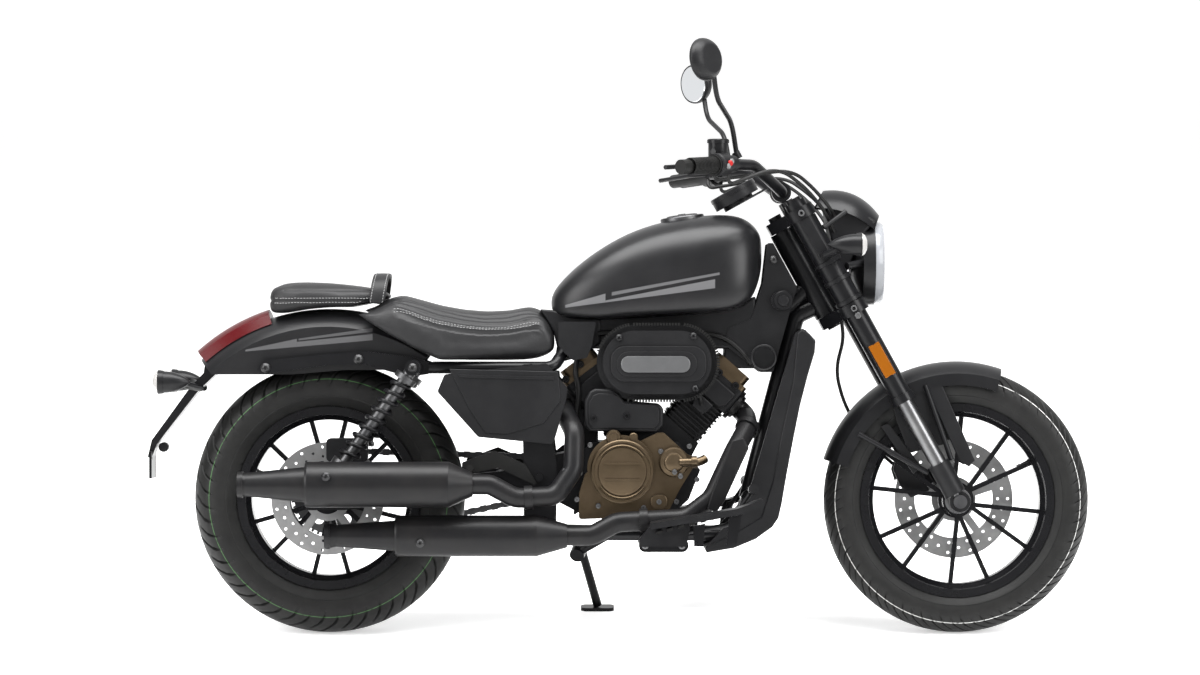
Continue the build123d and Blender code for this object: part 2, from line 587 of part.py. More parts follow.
with BuildPart() as frame:
    rod(HEAD_LOW, HEAD_HIGH, HEAD_TUBE_R)
    pipe([fork_point(STEM_F - 6, 0, LOWER_YOKE_S + 90), (970, 0, SPINE_Z), (SPINE_BACK_X - 20, 0, SPINE_Z)],
         [60], FRAME_TUBE_R)
    pipe([fork_point(STEM_F - 6, 0, LOWER_YOKE_S + 42), (DOWN_TOP[0], 0, DOWN_TOP[1]),
          (DOWN_BOTTOM[0], 0, DOWN_BOTTOM[1])], [30], FRAME_TUBE_R)
    rod((DOWN_BOTTOM[0] + 4, -36, DOWN_BOTTOM[1]), (DOWN_BOTTOM[0] + 4, 36, DOWN_BOTTOM[1]), FRAME_TUBE_R)
    for side in (-1, 1):
        pipe([(SPINE_BACK_X - 1, side * 2, SPINE_Z - 2), (SPINE_BACK_X - 16, side * 52, SPINE_Z - 34),
              (SPINE_BACK_X - 48, side * RAIL_Y, RAIL_Z), (STRUT_FRONT_X + GAP, side * RAIL_Y, RAIL_Z)],
             [24, 30], RAIL_R)
        pipe([(DOWN_BOTTOM[0], side * 30, DOWN_BOTTOM[1]), (900, side * CRADLE_Y, CRADLE_Z),
              (600, side * CRADLE_Y, CRADLE_Z), (540, side * (PLATE_Y + 4), CRADLE_Z),
              (PIVOT_X - 10, side * (PLATE_Y + 4), CRADLE_Z)], [40, 60, 40], RAIL_R)
        outline = [(PIVOT_X - 34, CRADLE_Z - 10), (PIVOT_X + 34, CRADLE_Z - 10), (PIVOT_X + 38, PIVOT_Z + 30),
                   (PIVOT_X + 10, RAIL_Z + 8), (PIVOT_X - 40, RAIL_Z + 8), (PIVOT_X - 34, PIVOT_Z)]
        inner = side * PLATE_Y
        outer = side * (PLATE_Y + PLATE_T)
        plate(outline, min(inner, outer), max(inner, outer), 8)
        rod((PIVOT_X - 18, side * 98, RAIL_Z), (PIVOT_X - 18, outer, RAIL_Z), RAIL_R - 4)
    rod((PIVOT_X, -PLATE_Y - PLATE_T - 8, PIVOT_Z), (PIVOT_X, PLATE_Y + PLATE_T + 8, PIVOT_Z), AXLE_R)
    bore(fork_point(STEM_F, 0, LOWER_YOKE_S), fork_point(STEM_F, 0, UPPER_YOKE_S), STEM_R + RUNNING_FIT)
    boss = STAND_PIVOT - STAND_AXIS * (STAND_EYE_HALF + 1)
    rod(boss - STAND_AXIS * 24, boss, STAND_EYE_R)
    for ahead in (40, 84):
        rod(boss - STAND_AXIS * 15, (STAND_PIVOT.X + ahead, CRADLE_Y + 1, CRADLE_Z), 8)
    rod(boss - STAND_AXIS * 6, STAND_PIVOT + STAND_AXIS * (STAND_EYE_HALF + 6), STAND_BOLT_R)
    rod(STAND_PIVOT + STAND_AXIS * (STAND_EYE_HALF + 1), STAND_PIVOT + STAND_AXIS * (STAND_EYE_HALF + 7),
        STAND_BOLT_R + 4)
finish(frame, "frame")

ARM_T = 26.0
SPOOL_X = 58.0
SPOOL_R = 4.0
SPOOL_DEPTH = 18.0
with BuildPart() as swingarm:
    rod((PIVOT_X, -ARM_Y - ARM_T / 2, PIVOT_Z), (PIVOT_X, ARM_Y + ARM_T / 2, PIVOT_Z), 20)
    rod((PIVOT_X - 90, -ARM_Y, PIVOT_Z - 6), (PIVOT_X - 90, ARM_Y, PIVOT_Z - 6), 17)
    for y in (-ARM_Y, ARM_Y):
        plate([(-46, REAR_TYRE_R - 24), (40, REAR_TYRE_R - 24), (PIVOT_X - 10, PIVOT_Z - 20),
               (PIVOT_X + 16, PIVOT_Z - 8), (PIVOT_X + 16, PIVOT_Z + 12), (PIVOT_X - 10, PIVOT_Z + 22),
               (40, REAR_TYRE_R + 26), (-46, REAR_TYRE_R + 24)], y - ARM_T / 2, y + ARM_T / 2, 6)
    bore((0, -ARM_Y - ARM_T, REAR_TYRE_R), (0, ARM_Y + ARM_T, REAR_TYRE_R), AXLE_R + GAP)
    bore((PIVOT_X, -ARM_Y - ARM_T, PIVOT_Z), (PIVOT_X, ARM_Y + ARM_T, PIVOT_Z), AXLE_R + GAP)
    for side in (-1, 1):
        bore((SPOOL_X, side * (ARM_Y + ARM_T / 2 - SPOOL_DEPTH), REAR_TYRE_R),
             (SPOOL_X, side * (ARM_Y + ARM_T), REAR_TYRE_R), SPOOL_R)
finish(swingarm, "swingarm")

with BuildPart() as rear_axle:
    rod((0, -ARM_Y - ARM_T / 2 - 10, REAR_TYRE_R), (0, ARM_Y + ARM_T / 2 + 10, REAR_TYRE_R), AXLE_R)
    for side in (-1, 1):
        rod((0, side * (REAR_HUB_W / 2 + 1), REAR_TYRE_R), (0, side * (ARM_Y - ARM_T / 2 - GAP), REAR_TYRE_R), 14)
        rod((0, side * (ARM_Y + ARM_T / 2 + GAP), REAR_TYRE_R),
            (0, side * (ARM_Y + ARM_T / 2 + 10), REAR_TYRE_R), 15)
finish(rear_axle, "rear_axle")

SHOCK_Y = 150.0
SHOCK_TOP = Vector(192, 0, 592)
SHOCK_BOTTOM = Vector(8, 0, 340)
SHOCK_UP = (SHOCK_TOP - SHOCK_BOTTOM).normalized()
SHOCK_LENGTH = (SHOCK_TOP - SHOCK_BOTTOM).length
COIL_R = 23.5
WIRE_R = 4.5
DAMPER_R = 13.5
EYE_HALF = 14.0
COIL_LOW = 60.0
COIL_HIGH = 40.0
COIL_TURNS = 9
with BuildPart() as shock_dampers:
    for side in (-1, 1):
        low = SHOCK_BOTTOM + Vector(0, side * SHOCK_Y, 0)
        high = SHOCK_TOP + Vector(0, side * SHOCK_Y, 0)
        rod(low, high, DAMPER_R)
        rod(low + SHOCK_UP * 22, low + SHOCK_UP * (COIL_LOW - WIRE_R - GAP), COIL_R + 2)
        rod(high - SHOCK_UP * (COIL_HIGH - WIRE_R - GAP), high - SHOCK_UP * 22, COIL_R + 2)
        for end in (low, high):
            rod(end - Vector(0, EYE_HALF, 0), end + Vector(0, EYE_HALF, 0), DAMPER_R + 3)
finish(shock_dampers, "shock_dampers")

with BuildPart() as shock_springs:
    for side in (-1, 1):
        with BuildLine() as coil:
            Helix((SHOCK_LENGTH - COIL_LOW - COIL_HIGH) / COIL_TURNS, SHOCK_LENGTH - COIL_LOW - COIL_HIGH,
                  COIL_R - WIRE_R, center=SHOCK_BOTTOM + Vector(0, side * SHOCK_Y, 0) + SHOCK_UP * COIL_LOW,
                  direction=SHOCK_UP)
        with BuildSketch(Plane(origin=coil.line @ 0, z_dir=coil.line % 0)) as wire:
            Circle(WIRE_R)
        sweep(wire.sketch, path=coil.line, is_frenet=True)
finish(shock_springs, "shock_springs")

# ======================================================================================
# Engine and exhaust
# ======================================================================================
CASE_HALF = 108.0
GEARBOX_HALF = 78.0
FRONT_CYLINDER_LEAN = 41.0
REAR_CYLINDER_LEAN = -37.0
BARREL_FROM = 97.0
BARREL_TO = 184.0
HEAD_TO = 246.0
COVER_TO = 280.0
BARREL_W = 104.0
BARREL_HALF = 60.0
FIN_COUNT = 5
FIN_T = 5.0
FRONT_SPROCKET_X = 524.0


def bank(lean):
    """A cylinder's own plane: z along the barrel from the crank, x across it in the side view."""
    return Plane(origin=(CRANK_X, 0, CRANK_Z), x_dir=(cos(radians(lean)), 0, -sin(radians(lean))),
                 z_dir=(sin(radians(lean)), 0, cos(radians(lean))))


def bank_point(lean, across, along):
    """The (x, z) point of a cylinder at a distance across and along its axis."""
    place = bank(lean).from_local_coords(Vector(across, 0, along))
    return place.X, place.Z


with BuildPart() as engine_case:
    seat_front = [bank_point(FRONT_CYLINDER_LEAN, a, BARREL_FROM) for a in (-BARREL_W / 2, BARREL_W / 2)]
    seat_rear = [bank_point(REAR_CYLINDER_LEAN, a, BARREL_FROM) for a in (-BARREL_W / 2, BARREL_W / 2)]
    plate([(570, 262), (570, 412), (588, 428), (776, 428), (826, 366), (800, 300), (756, 262)],
          -CASE_HALF, CASE_HALF)
    plate([(600, 400)] + seat_rear + seat_front + [(800, 380)], -BARREL_HALF - 2, BARREL_HALF + 2)
    plate([(500, 300), (500, 398), (572, 412), (572, 262)], -GEARBOX_HALF, GEARBOX_HALF)
    rod((CRANK_X, CASE_HALF, CRANK_Z - 10), (CRANK_X, CASE_HALF + 34, CRANK_Z - 10), 84)
    rod((CRANK_X, CASE_HALF + 34, CRANK_Z - 10), (CRANK_X, CASE_HALF + 40, CRANK_Z - 10), 62)
    rod((FRONT_SPROCKET_X, GEARBOX_HALF, PIVOT_Z), (FRONT_SPROCKET_X, CHAIN_Y + 8, PIVOT_Z),
        FRONT_SPROCKET_R + CHAIN_GAP - GAP)
    plate([(496, 306), (496, 396), (520, 416), (600, 416), (600, 300), (520, 290)], CHAIN_Y + 12, PLATE_Y - 6, 10)
    plate([(571, 300), (571, 410), (600, 416), (600, 300)], CASE_HALF - 1, PLATE_Y - 6)
    for x in (640, 760):
        rod((x, -CRADLE_Y - 6, CRADLE_Z + RAIL_R + GAP + 12), (x, CRADLE_Y + 6, CRADLE_Z + RAIL_R + GAP + 12), 12)
        plate([(x - 10, CRADLE_Z + RAIL_R + 6), (x - 20, 270), (x + 20, 270), (x + 10, CRADLE_Z + RAIL_R + 6)], -30, 30)
finish(engine_case, "engine_case")

CLUTCH_X = 650.0
CLUTCH_Z = 370.0
CLUTCH_R = 62.0
with BuildPart() as clutch_cover:
    plate([(557, 258), (558, 315), (571, 358), (650, 410), (731, 449), (745, 449), (797, 401), (823, 392),
           (806, 366), (780, 324), (758, 281), (700, 262)], -CASE_HALF - 26, -CASE_HALF - GAP, 6)
    rod((CLUTCH_X, -CASE_HALF - 25, CLUTCH_Z), (CLUTCH_X, -CASE_HALF - 42, CLUTCH_Z), CLUTCH_R + 12)
    rod((CLUTCH_X, -CASE_HALF - 41, CLUTCH_Z), (CLUTCH_X, -CASE_HALF - 50, CLUTCH_Z), CLUTCH_R)
    rod((768, -CASE_HALF - 25, 385), (768, -CASE_HALF - 44, 385), 24)
finish(clutch_cover, "clutch_cover")

with BuildPart() as cylinders:
    for lean in (FRONT_CYLINDER_LEAN, REAR_CYLINDER_LEAN):
        with BuildSketch(bank(lean).offset(BARREL_FROM + GAP)) as barrel:
            RectangleRounded(BARREL_W - 8, 2 * BARREL_HALF - 8, 16)
        extrude(barrel.sketch, amount=BARREL_TO - BARREL_FROM - GAP)
        for k in range(FIN_COUNT):
            height = BARREL_FROM + GAP + 8 + k * (BARREL_TO - BARREL_FROM - 20) / (FIN_COUNT - 1)
            with BuildSketch(bank(lean).offset(height)) as fin:
                RectangleRounded(BARREL_W, 2 * BARREL_HALF, 18)
            extrude(fin.sketch, amount=FIN_T)
        with BuildSketch(bank(lean).offset(BARREL_TO)) as head:
            RectangleRounded(BARREL_W + 8, 2 * BARREL_HALF + 6, 10)
        extrude(head.sketch, amount=HEAD_TO - BARREL_TO)
finish(cylinders, "cylinders")

with BuildPart() as head_covers:
    for lean in (FRONT_CYLINDER_LEAN, REAR_CYLINDER_LEAN):
        with BuildSketch(bank(lean).offset(HEAD_TO + GAP)) as skirt:
            RectangleRounded(BARREL_W + 4, 2 * BARREL_HALF + 2, 10)
        extrude(skirt.sketch, amount=12)
        with BuildSketch(bank(lean).offset(HEAD_TO + 12)) as top:
            RectangleRounded(BARREL_W - 14, 2 * BARREL_HALF - 12, 14)
        extrude(top.sketch, amount=COVER_TO - HEAD_TO - 12)
finish(head_covers, "head_covers")

CLEANER_X = 730.0
CLEANER_Z = 604.0
CLEANER_L = 266.0
CLEANER_H = 166.0
CLEANER_IN = BARREL_HALF + 3 + GAP
CLEANER_OUT = 142.0
with BuildPart() as air_cleaner:
    with BuildSketch(Plane.XZ.offset(CLEANER_IN)) as back:
        with Locations((CLEANER_X, CLEANER_Z)):
            SlotOverall(CLEANER_L, CLEANER_H)
    extrude(back.sketch, amount=CLEANER_OUT - CLEANER_IN - 24)
    with BuildSketch(Plane.XZ.offset(CLEANER_OUT - 26)) as face:
        with Locations((CLEANER_X, CLEANER_Z)):
            SlotOverall(CLEANER_L - 26, CLEANER_H - 26)
    extrude(face.sketch, amount=26)
    with BuildSketch(Plane.XZ.offset(CLEANER_OUT)) as badge:
        with Locations((CLEANER_X, CLEANER_Z - 4)):
            RectangleRounded(146, 36, 12)
    extrude(badge.sketch, amount=3)
finish(air_cleaner, "air_cleaner")

with BuildPart() as intake_cover:
    plate([(567, 451), (567, 520), (600, 544), (745, 544), (745, 451)], -CLEANER_OUT + 14, -CLEANER_IN, 8)
    with BuildSketch(Plane.XZ.offset(CLEANER_IN - 1)) as clear:
        with Locations((CLEANER_X, CLEANER_Z)):
            SlotOverall(CLEANER_L + 5, CLEANER_H + 5)
    extrude(clear.sketch, amount=CLEANER_OUT, mode=Mode.SUBTRACT)
finish(intake_cover, "intake_cover")

SILENCER_Z = (338.0, 225.0)
UPPER_MOUTH_X = 326.0
LOWER_MOUTH_X = 532.0
with BuildPart() as exhaust_pipes:
    front_port = bank(FRONT_CYLINDER_LEAN).from_local_coords(Vector(BARREL_W / 2 + 4 + GAP, -20, 214))
    rear_port = bank(REAR_CYLINDER_LEAN).from_local_coords(Vector(-BARREL_W / 2 - 4 - GAP, -20, 214))
    front_out = bank(FRONT_CYLINDER_LEAN).x_dir
    rear_out = bank(REAR_CYLINDER_LEAN).x_dir * -1
    pipe([front_port, front_port + front_out * 34, (932, -96, 462), (900, -160, 410), (850, -184, 306),
          (792, -188, 262), (640, -190, 254), (586, LOWER_SILENCER_Y, SILENCER_Z[1]),
          (LOWER_MOUTH_X - 16, LOWER_SILENCER_Y, SILENCER_Z[1])],
         [26, 44, 60, 60, 50, 60, 50], PIPE_R, PIPE_R - 2)
    pipe([rear_port, rear_port + rear_out * 28, (528, -104, 488), (548, -160, 450), (546, -186, 370),
          (506, -206, 312), (420, -226, 308), (364, UPPER_SILENCER_Y, SILENCER_Z[0]),
          (UPPER_MOUTH_X - 12, UPPER_SILENCER_Y, SILENCER_Z[0])],
         [26, 40, 40, 50, 40, 50, 30], PIPE_R, PIPE_R - 2)
finish(exhaust_pipes, "exhaust_pipes")


def silencer(y, z, tip, step, back, front, mouth, tip_r, body_r):
    """Turn a silencer's wall about its length: tapered tail, drum and front cone."""
    w = SILENCER_WALL
    outer = [(tip, tip_r), (step, body_r - 11), (step, body_r - 2), (back, body_r), (front, body_r), (mouth, PIPE_R + 4)]
    inner = [(mouth, PIPE_R + GAP), (front, body_r - w), (back, body_r - w), (step + w, body_r - 11 - w), (tip, tip_r - w)]
    with BuildSketch(Plane(origin=(0, y, z), x_dir=(1, 0, 0), z_dir=(0, -1, 0))) as wall:
        with BuildLine():
            Polyline(*outer, *inner, close=True)
        make_face()
    revolve(wall.sketch, axis=Axis((0, y, z), (1, 0, 0)))


with BuildPart() as silencers:
    silencer(UPPER_SILENCER_Y, SILENCER_Z[0], -185, -39, -34, 274, UPPER_MOUTH_X, 24, 50)
    silencer(LOWER_SILENCER_Y, SILENCER_Z[1], 3, 156, 160, 466, LOWER_MOUTH_X, 22, 45)
finish(silencers, "silencers")

# ======================================================================================
# Tank, seats and rear fender
# ======================================================================================
TANK_STATIONS = [(496, 722, 744, 44), (530, 703, 774, 74), (629, 697, 870, 116), (735, 705, 914, 133),
                 (850, 712, 932, 132), (915, 723, 930, 112), (946, 760, 910, 76), (963, 826, 886, 36)]
with BuildPart() as fuel_tank:
    for x, low, high, half in TANK_STATIONS:
        height = high - low
        shoulder = (0.72 * half, low + 0.86 * height)
        belly = (half, low + 0.42 * height)
        foot = (0.86 * half, low)
        with BuildSketch(Plane.YZ.offset(x)) as hoop:
            with BuildLine():
                Line((-foot[0], foot[1]), foot)
                ThreePointArc(foot, belly, shoulder)
                ThreePointArc(shoulder, (0, high), (-shoulder[0], shoulder[1]))
                ThreePointArc((-shoulder[0], shoulder[1]), (-belly[0], belly[1]), (-foot[0], foot[1]))
            make_face()
    loft()
finish(fuel_tank, "fuel_tank")

CAP_FOOT = Vector(788, 0, 900)
CAP_UP = Vector(-0.13, 0, 1).normalized()
CAP_R = 49.0
CAP_H = 33.0
with BuildPart() as fuel_cap:
    rod(CAP_FOOT, CAP_FOOT + CAP_UP * CAP_H, CAP_R)
    rod(CAP_FOOT, CAP_FOOT + CAP_UP * (CAP_H + 3), 10)
    add(fuel_tank.part.moved(PARKED.inverse()), mode=Mode.SUBTRACT)
finish(fuel_cap, "fuel_cap")

REAR_FENDER_R = 421.0
REAR_FENDER_HALF = 92.0
RIDER_SIDE = [(146, 741), (147, 757), (241, 732), (334, 718), (390, 718), (445, 729), (464, 731), (484, 712), (508, 662),
              (505, 640), (479, 617), (438, 608), (260, 607), (223, 621), (185, 643), (115, 681), (60, 719)]
RIDER_PLAN = [(50, 92), (160, 138), (260, 146), (360, 126), (440, 100), (520, 88)]
RIDER_TOP = 84.0
with BuildPart() as rider_seat:
    plate(RIDER_SIDE, -160, 160)
    with BuildSketch(Plane.XY.offset(SEAT_Z - 150)) as plan:
        with BuildLine():
            Polyline(*RIDER_PLAN, *[(x, -y) for x, y in reversed(RIDER_PLAN)], close=True)
        make_face()
    extrude(plan.sketch, amount=300, mode=Mode.INTERSECT)
    bore((0, -REAR_FENDER_HALF - GAP, REAR_TYRE_R), (0, REAR_FENDER_HALF + GAP, REAR_TYRE_R), REAR_FENDER_R + GAP)
finish(rider_seat, "rider_seat")

PILLION_SIDE = [(-136, 742), (-128, 764), (-100, 774), (60, 777), (96, 772), (143, 760), (141, 744), (60, 723.5),
                (50, 712), (-110, 708), (-130, 722)]
PILLION_HALF = 88.0
with BuildPart() as pillion_seat:
    plate([(x, z + GAP) for x, z in PILLION_SIDE], -PILLION_HALF, PILLION_HALF)
    bore((0, -REAR_FENDER_HALF - GAP, REAR_TYRE_R), (0, REAR_FENDER_HALF + GAP, REAR_TYRE_R), REAR_FENDER_R + GAP)
finish(pillion_seat, "pillion_seat")

STRAP_BACK_X = 92.0
STRAP_W = 36.0
STRAP_T = 3.6
STRAP_FOOT_Z = 740.0
STRAP_EDGE_Z = 775.0
STRAP_TOP_Z = 802.0
with BuildPart() as grab_strap:
    inner_y = PILLION_HALF + GAP
    outer_y = inner_y + STRAP_T
    with BuildSketch(Plane.YZ.offset(STRAP_BACK_X)) as band:
        with BuildLine():
            Line((inner_y, STRAP_FOOT_Z), (inner_y, STRAP_EDGE_Z))
            ThreePointArc((inner_y, STRAP_EDGE_Z), (0, STRAP_TOP_Z - STRAP_T), (-inner_y, STRAP_EDGE_Z))
            Polyline((-inner_y, STRAP_EDGE_Z), (-inner_y, STRAP_FOOT_Z), (-outer_y, STRAP_FOOT_Z),
                     (-outer_y, STRAP_EDGE_Z + 1))
            ThreePointArc((-outer_y, STRAP_EDGE_Z + 1), (0, STRAP_TOP_Z), (outer_y, STRAP_EDGE_Z + 1))
            Polyline((outer_y, STRAP_EDGE_Z + 1), (outer_y, STRAP_FOOT_Z), (inner_y, STRAP_FOOT_Z))
        make_face()
    extrude(band.sketch, amount=STRAP_W)
finish(grab_strap, "grab_strap")

REAR_FENDER_T = 3.5
REAR_FENDER_FROM = 55.0
REAR_FENDER_TO = 133.0
REAR_FENDER_EDGE = 577.0
with BuildPart() as rear_fender:
    edge = REAR_TYRE_R
    with BuildSketch(Plane.YZ) as section:
        with BuildLine():
            Polyline((-REAR_FENDER_HALF + 10, edge + 240), (-REAR_FENDER_HALF, edge + REAR_FENDER_R - 40))
            ThreePointArc((-REAR_FENDER_HALF, edge + REAR_FENDER_R - 40), (0, edge + REAR_FENDER_R),
                          (REAR_FENDER_HALF, edge + REAR_FENDER_R - 40))
            Polyline((REAR_FENDER_HALF, edge + REAR_FENDER_R - 40), (REAR_FENDER_HALF - 10, edge + 240),
                     (REAR_FENDER_HALF - 10 - REAR_FENDER_T, edge + 240),
                     (REAR_FENDER_HALF - REAR_FENDER_T, edge + REAR_FENDER_R - 42))
            ThreePointArc((REAR_FENDER_HALF - REAR_FENDER_T, edge + REAR_FENDER_R - 42),
                          (0, edge + REAR_FENDER_R - REAR_FENDER_T),
                          (-REAR_FENDER_HALF + REAR_FENDER_T, edge + REAR_FENDER_R - 42))
            Polyline((-REAR_FENDER_HALF + REAR_FENDER_T, edge + REAR_FENDER_R - 42),
                     (-REAR_FENDER_HALF + 10 + REAR_FENDER_T, edge + 240), (-REAR_FENDER_HALF + 10, edge + 240))
        make_face()
    revolve(section.sketch.rotate(Axis(REAR, (0, 1, 0)), 90 - REAR_FENDER_FROM), axis=Axis(REAR, (0, 1, 0)),
            revolution_arc=-(REAR_FENDER_TO - REAR_FENDER_FROM))
    plate([(-400, 0), (400, 0), (400, REAR_FENDER_EDGE + 10), (40, REAR_FENDER_EDGE + 10),
           (-80, REAR_FENDER_EDGE), (-400, REAR_FENDER_EDGE)], -200, 200, mode=Mode.SUBTRACT)
finish(rear_fender, "rear_fender")

with BuildPart() as tail_lamp:
    lens_r = REAR_FENDER_R + GAP
    with BuildSketch(Plane.YZ) as section:
        with BuildLine():
            ThreePointArc((-62, edge + lens_r - 14), (0, edge + lens_r), (62, edge + lens_r - 14))
            Line((62, edge + lens_r - 14), (50, edge + lens_r + 8))
            ThreePointArc((50, edge + lens_r + 8), (0, edge + lens_r + 20), (-50, edge + lens_r + 8))
            Line((-50, edge + lens_r + 8), (-62, edge + lens_r - 14))
        make_face()
    revolve(section.sketch.rotate(Axis(REAR, (0, 1, 0)), -(108 - 90)), axis=Axis(REAR, (0, 1, 0)),
            revolution_arc=-24)
finish(tail_lamp, "tail_lamp")

STRUT_T = 12.0
STRUT_Y = REAR_FENDER_HALF + GAP
with BuildPart() as fender_struts:
    for side in (-1, 1):
        low, high = sorted((side * STRUT_Y, side * (STRUT_Y + STRUT_T)))
        plate([(-158, 586), (-140, 608), (0, 622), (90, 628), (190, 616), (STRUT_FRONT_X, 604), (STRUT_FRONT_X, 578), (180, 572),
               (80, 600), (0, 598), (-130, 580)], low, high, 4)
        rod((SHOCK_TOP.X, side * STRUT_Y, SHOCK_TOP.Z), (SHOCK_TOP.X, side * (SHOCK_Y - EYE_HALF - GAP), SHOCK_TOP.Z), 18)
        rod((SHOCK_TOP.X, side * (SHOCK_Y + EYE_HALF + GAP), SHOCK_TOP.Z),
            (SHOCK_TOP.X, side * (SHOCK_Y + 22), SHOCK_TOP.Z), 17)
finish(fender_struts, "fender_struts")

PLATE_HOLE_Y = 40.0
PLATE_HOLE_Z = 390.0
PLATE_HOLE_R = 3.2
with BuildPart() as plate_holder:
    plate([about(REAR, REAR_FENDER_R - 8.8, 132), about(REAR, REAR_FENDER_R - 8.8, 126), (-244, 586), (-292, 540),
           (-385, 420), (-395, 392), (-405, 392), (-396, 430), (-310, 548), (-280, 580)], -34, 34)
    plate([(PLATE_X + 8, 345), (PLATE_X + 8, 405), (PLATE_X + 2, 405), (PLATE_X + 2, 345)], -50, 50)
    rod((PLATE_X, 0, 372), (PLATE_X + 6, 0, 372), 24)
    for y in (-PLATE_HOLE_Y, PLATE_HOLE_Y):
        bore((PLATE_X - 10, y, PLATE_HOLE_Z), (PLATE_X + 20, y, PLATE_HOLE_Z), PLATE_HOLE_R)
finish(plate_holder, "plate_holder")

REAR_SIGNAL_Y = 150.0
with BuildPart() as rear_signals:
    for side in (-1, 1):
        centre = Vector(-330, side * REAR_SIGNAL_Y, 561)
        rod((-285, side * 37, 546), centre - Vector(-6, side * 10, 0), 6.5)
        with BuildSketch(Plane(origin=centre, x_dir=(1, 0, 0), z_dir=(0, -1, 0))) as bullet:
            with BuildLine():
                Line((-36, 0), (34, 0))
                ThreePointArc((34, 0), (-8, SIGNAL_R - 4), (-36, SIGNAL_R - 3))
                Line((-36, SIGNAL_R - 3), (-36, 0))
            make_face()
        revolve(bullet.sketch, axis=Axis(centre, (1, 0, 0)))
finish(rear_signals, "rear_signals")

# ======================================================================================
# Covers, radiator and front cowl
# ======================================================================================
COVER_IN = PLATE_Y + PLATE_T + GAP
with BuildPart() as side_covers:
    for side in (-1, 1):
        low, high = sorted((side * COVER_IN, side * (COVER_IN + 14)))
        plate([(246, 540), (262, 578), (487, 602), (532, 548), (530, 525), (500, 424), (336, 440)], low, high, 8)
finish(side_covers, "side_covers")

with BuildPart() as head_cowls:
    for side in (-1, 1):
        low, high = sorted((side * 52, side * 60))
        plate([(974, 850), (976, 869), (989, 869), (1042, 772), (1034, 743), (989, 582), (960, 582), (880, 645),
               (889, 680), (940, 700), (966, 780)], low, high, 4)
        rod((1010, side * (FRAME_TUBE_R + GAP), 715), (1010, side * 54, 715), 9)
        rod((1005, side * 60, 741), (1005, side * 72, 741), 21)
finish(head_cowls, "head_cowls")

NECK_SIDE = [(512, 694), (596, 694), (590, 664), (586, 640), (575, 614), (545, 608), (526, 624), (512, 642)]
NECK_Y = 94.0
NECK_T = 5.0
with BuildPart() as neck_covers:
    for side in (-1, 1):
        low, high = sorted((side * NECK_Y, side * (NECK_Y + NECK_T)))
        plate(NECK_SIDE, low, high, 6)
        rod((572, side * (FRAME_TUBE_R + GAP), SPINE_Z), (572, side * (NECK_Y + 1), SPINE_Z), 7)
finish(neck_covers, "neck_covers")

DOWN_WAY = Vector(DOWN_TOP[0] - DOWN_BOTTOM[0], 0, DOWN_TOP[1] - DOWN_BOTTOM[1]).normalized()
DOWN_FRONT = Vector(DOWN_WAY.Z, 0, -DOWN_WAY.X)
RADIATOR_T = 28.0
RADIATOR_HALF = 110.0
RADIATOR_H = 300.0
RIB_PITCH = 15.0
RIB_COUNT = 18
SHROUD_HALF = 124.0
with BuildPart() as radiator:
    middle = Vector(*[(a + b) / 2 for a, b in zip((DOWN_TOP[0], 0, DOWN_TOP[1]), (DOWN_BOTTOM[0], 0, DOWN_BOTTOM[1]))])
    middle += DOWN_FRONT * (FRAME_TUBE_R + GAP + RADIATOR_T / 2) - DOWN_WAY * 10
    with BuildSketch(Plane(origin=middle - DOWN_FRONT * RADIATOR_T / 2, x_dir=(0, 1, 0), z_dir=DOWN_FRONT)) as core:
        Rectangle(2 * RADIATOR_HALF, RADIATOR_H)
    extrude(core.sketch, amount=RADIATOR_T)
    with BuildSketch(Plane(origin=middle + DOWN_FRONT * RADIATOR_T / 2, x_dir=(0, 1, 0), z_dir=DOWN_FRONT)) as ribs:
        with GridLocations(0, RIB_PITCH, 1, RIB_COUNT):
            Rectangle(2 * RADIATOR_HALF - 24, 6)
    extrude(ribs.sketch, amount=3)
finish(radiator, "radiator")

with BuildPart() as front_cowl:
    for side in (-1, 1):
        low, high = sorted((side * (RADIATOR_HALF + GAP), side * SHROUD_HALF))
        plate([(1036, 670), (1052, 679), (1080, 653), (1048, 559), (997, 279), (984, 240), (840, 183), (836, 195),
               (925, 290)], low, high, 4)
    plate([(997, 279), (984, 240), (840, 183), (836, 190), (980, 248), (991, 279)], -RADIATOR_HALF - 1, RADIATOR_HALF + 1)
    plate([(1058, 676), (1080, 653), (1073, 648), (1056, 668)],
          -RADIATOR_HALF - 1, RADIATOR_HALF + 1)
finish(front_cowl, "front_cowl")

# ======================================================================================
# Foot controls, brakes and drive
# ======================================================================================
BOARD_IN = 226.0
BOARD_OUT = 312.0
BOARD_BAR_Z = CRADLE_Z - 8
with BuildPart() as footboards:
    for side in (-1, 1):
        low, high = sorted((side * BOARD_IN, side * BOARD_OUT))
        plate([(713, 243), (713, 257), (900, 288), (957, 309), (961, 297), (905, 275)], low, high, 3)
        for x in (702, 780):
            rod((x, side * (CRADLE_Y + RAIL_R - 3), BOARD_BAR_Z), (x, side * (BOARD_IN + 40), BOARD_BAR_Z), 10)
        low, high = sorted((side * (BOARD_IN + 10), side * (BOARD_IN + 40)))
        plate([(690, 204), (690, 222), (716, 250), (800, 264), (800, 246), (792, 204)], low, high, 3)
    for side in (-1, 1):
        bore((500, side * CRADLE_Y, CRADLE_Z), (1000, side * CRADLE_Y, CRADLE_Z), RAIL_R + GAP)
finish(footboards, "footboards")

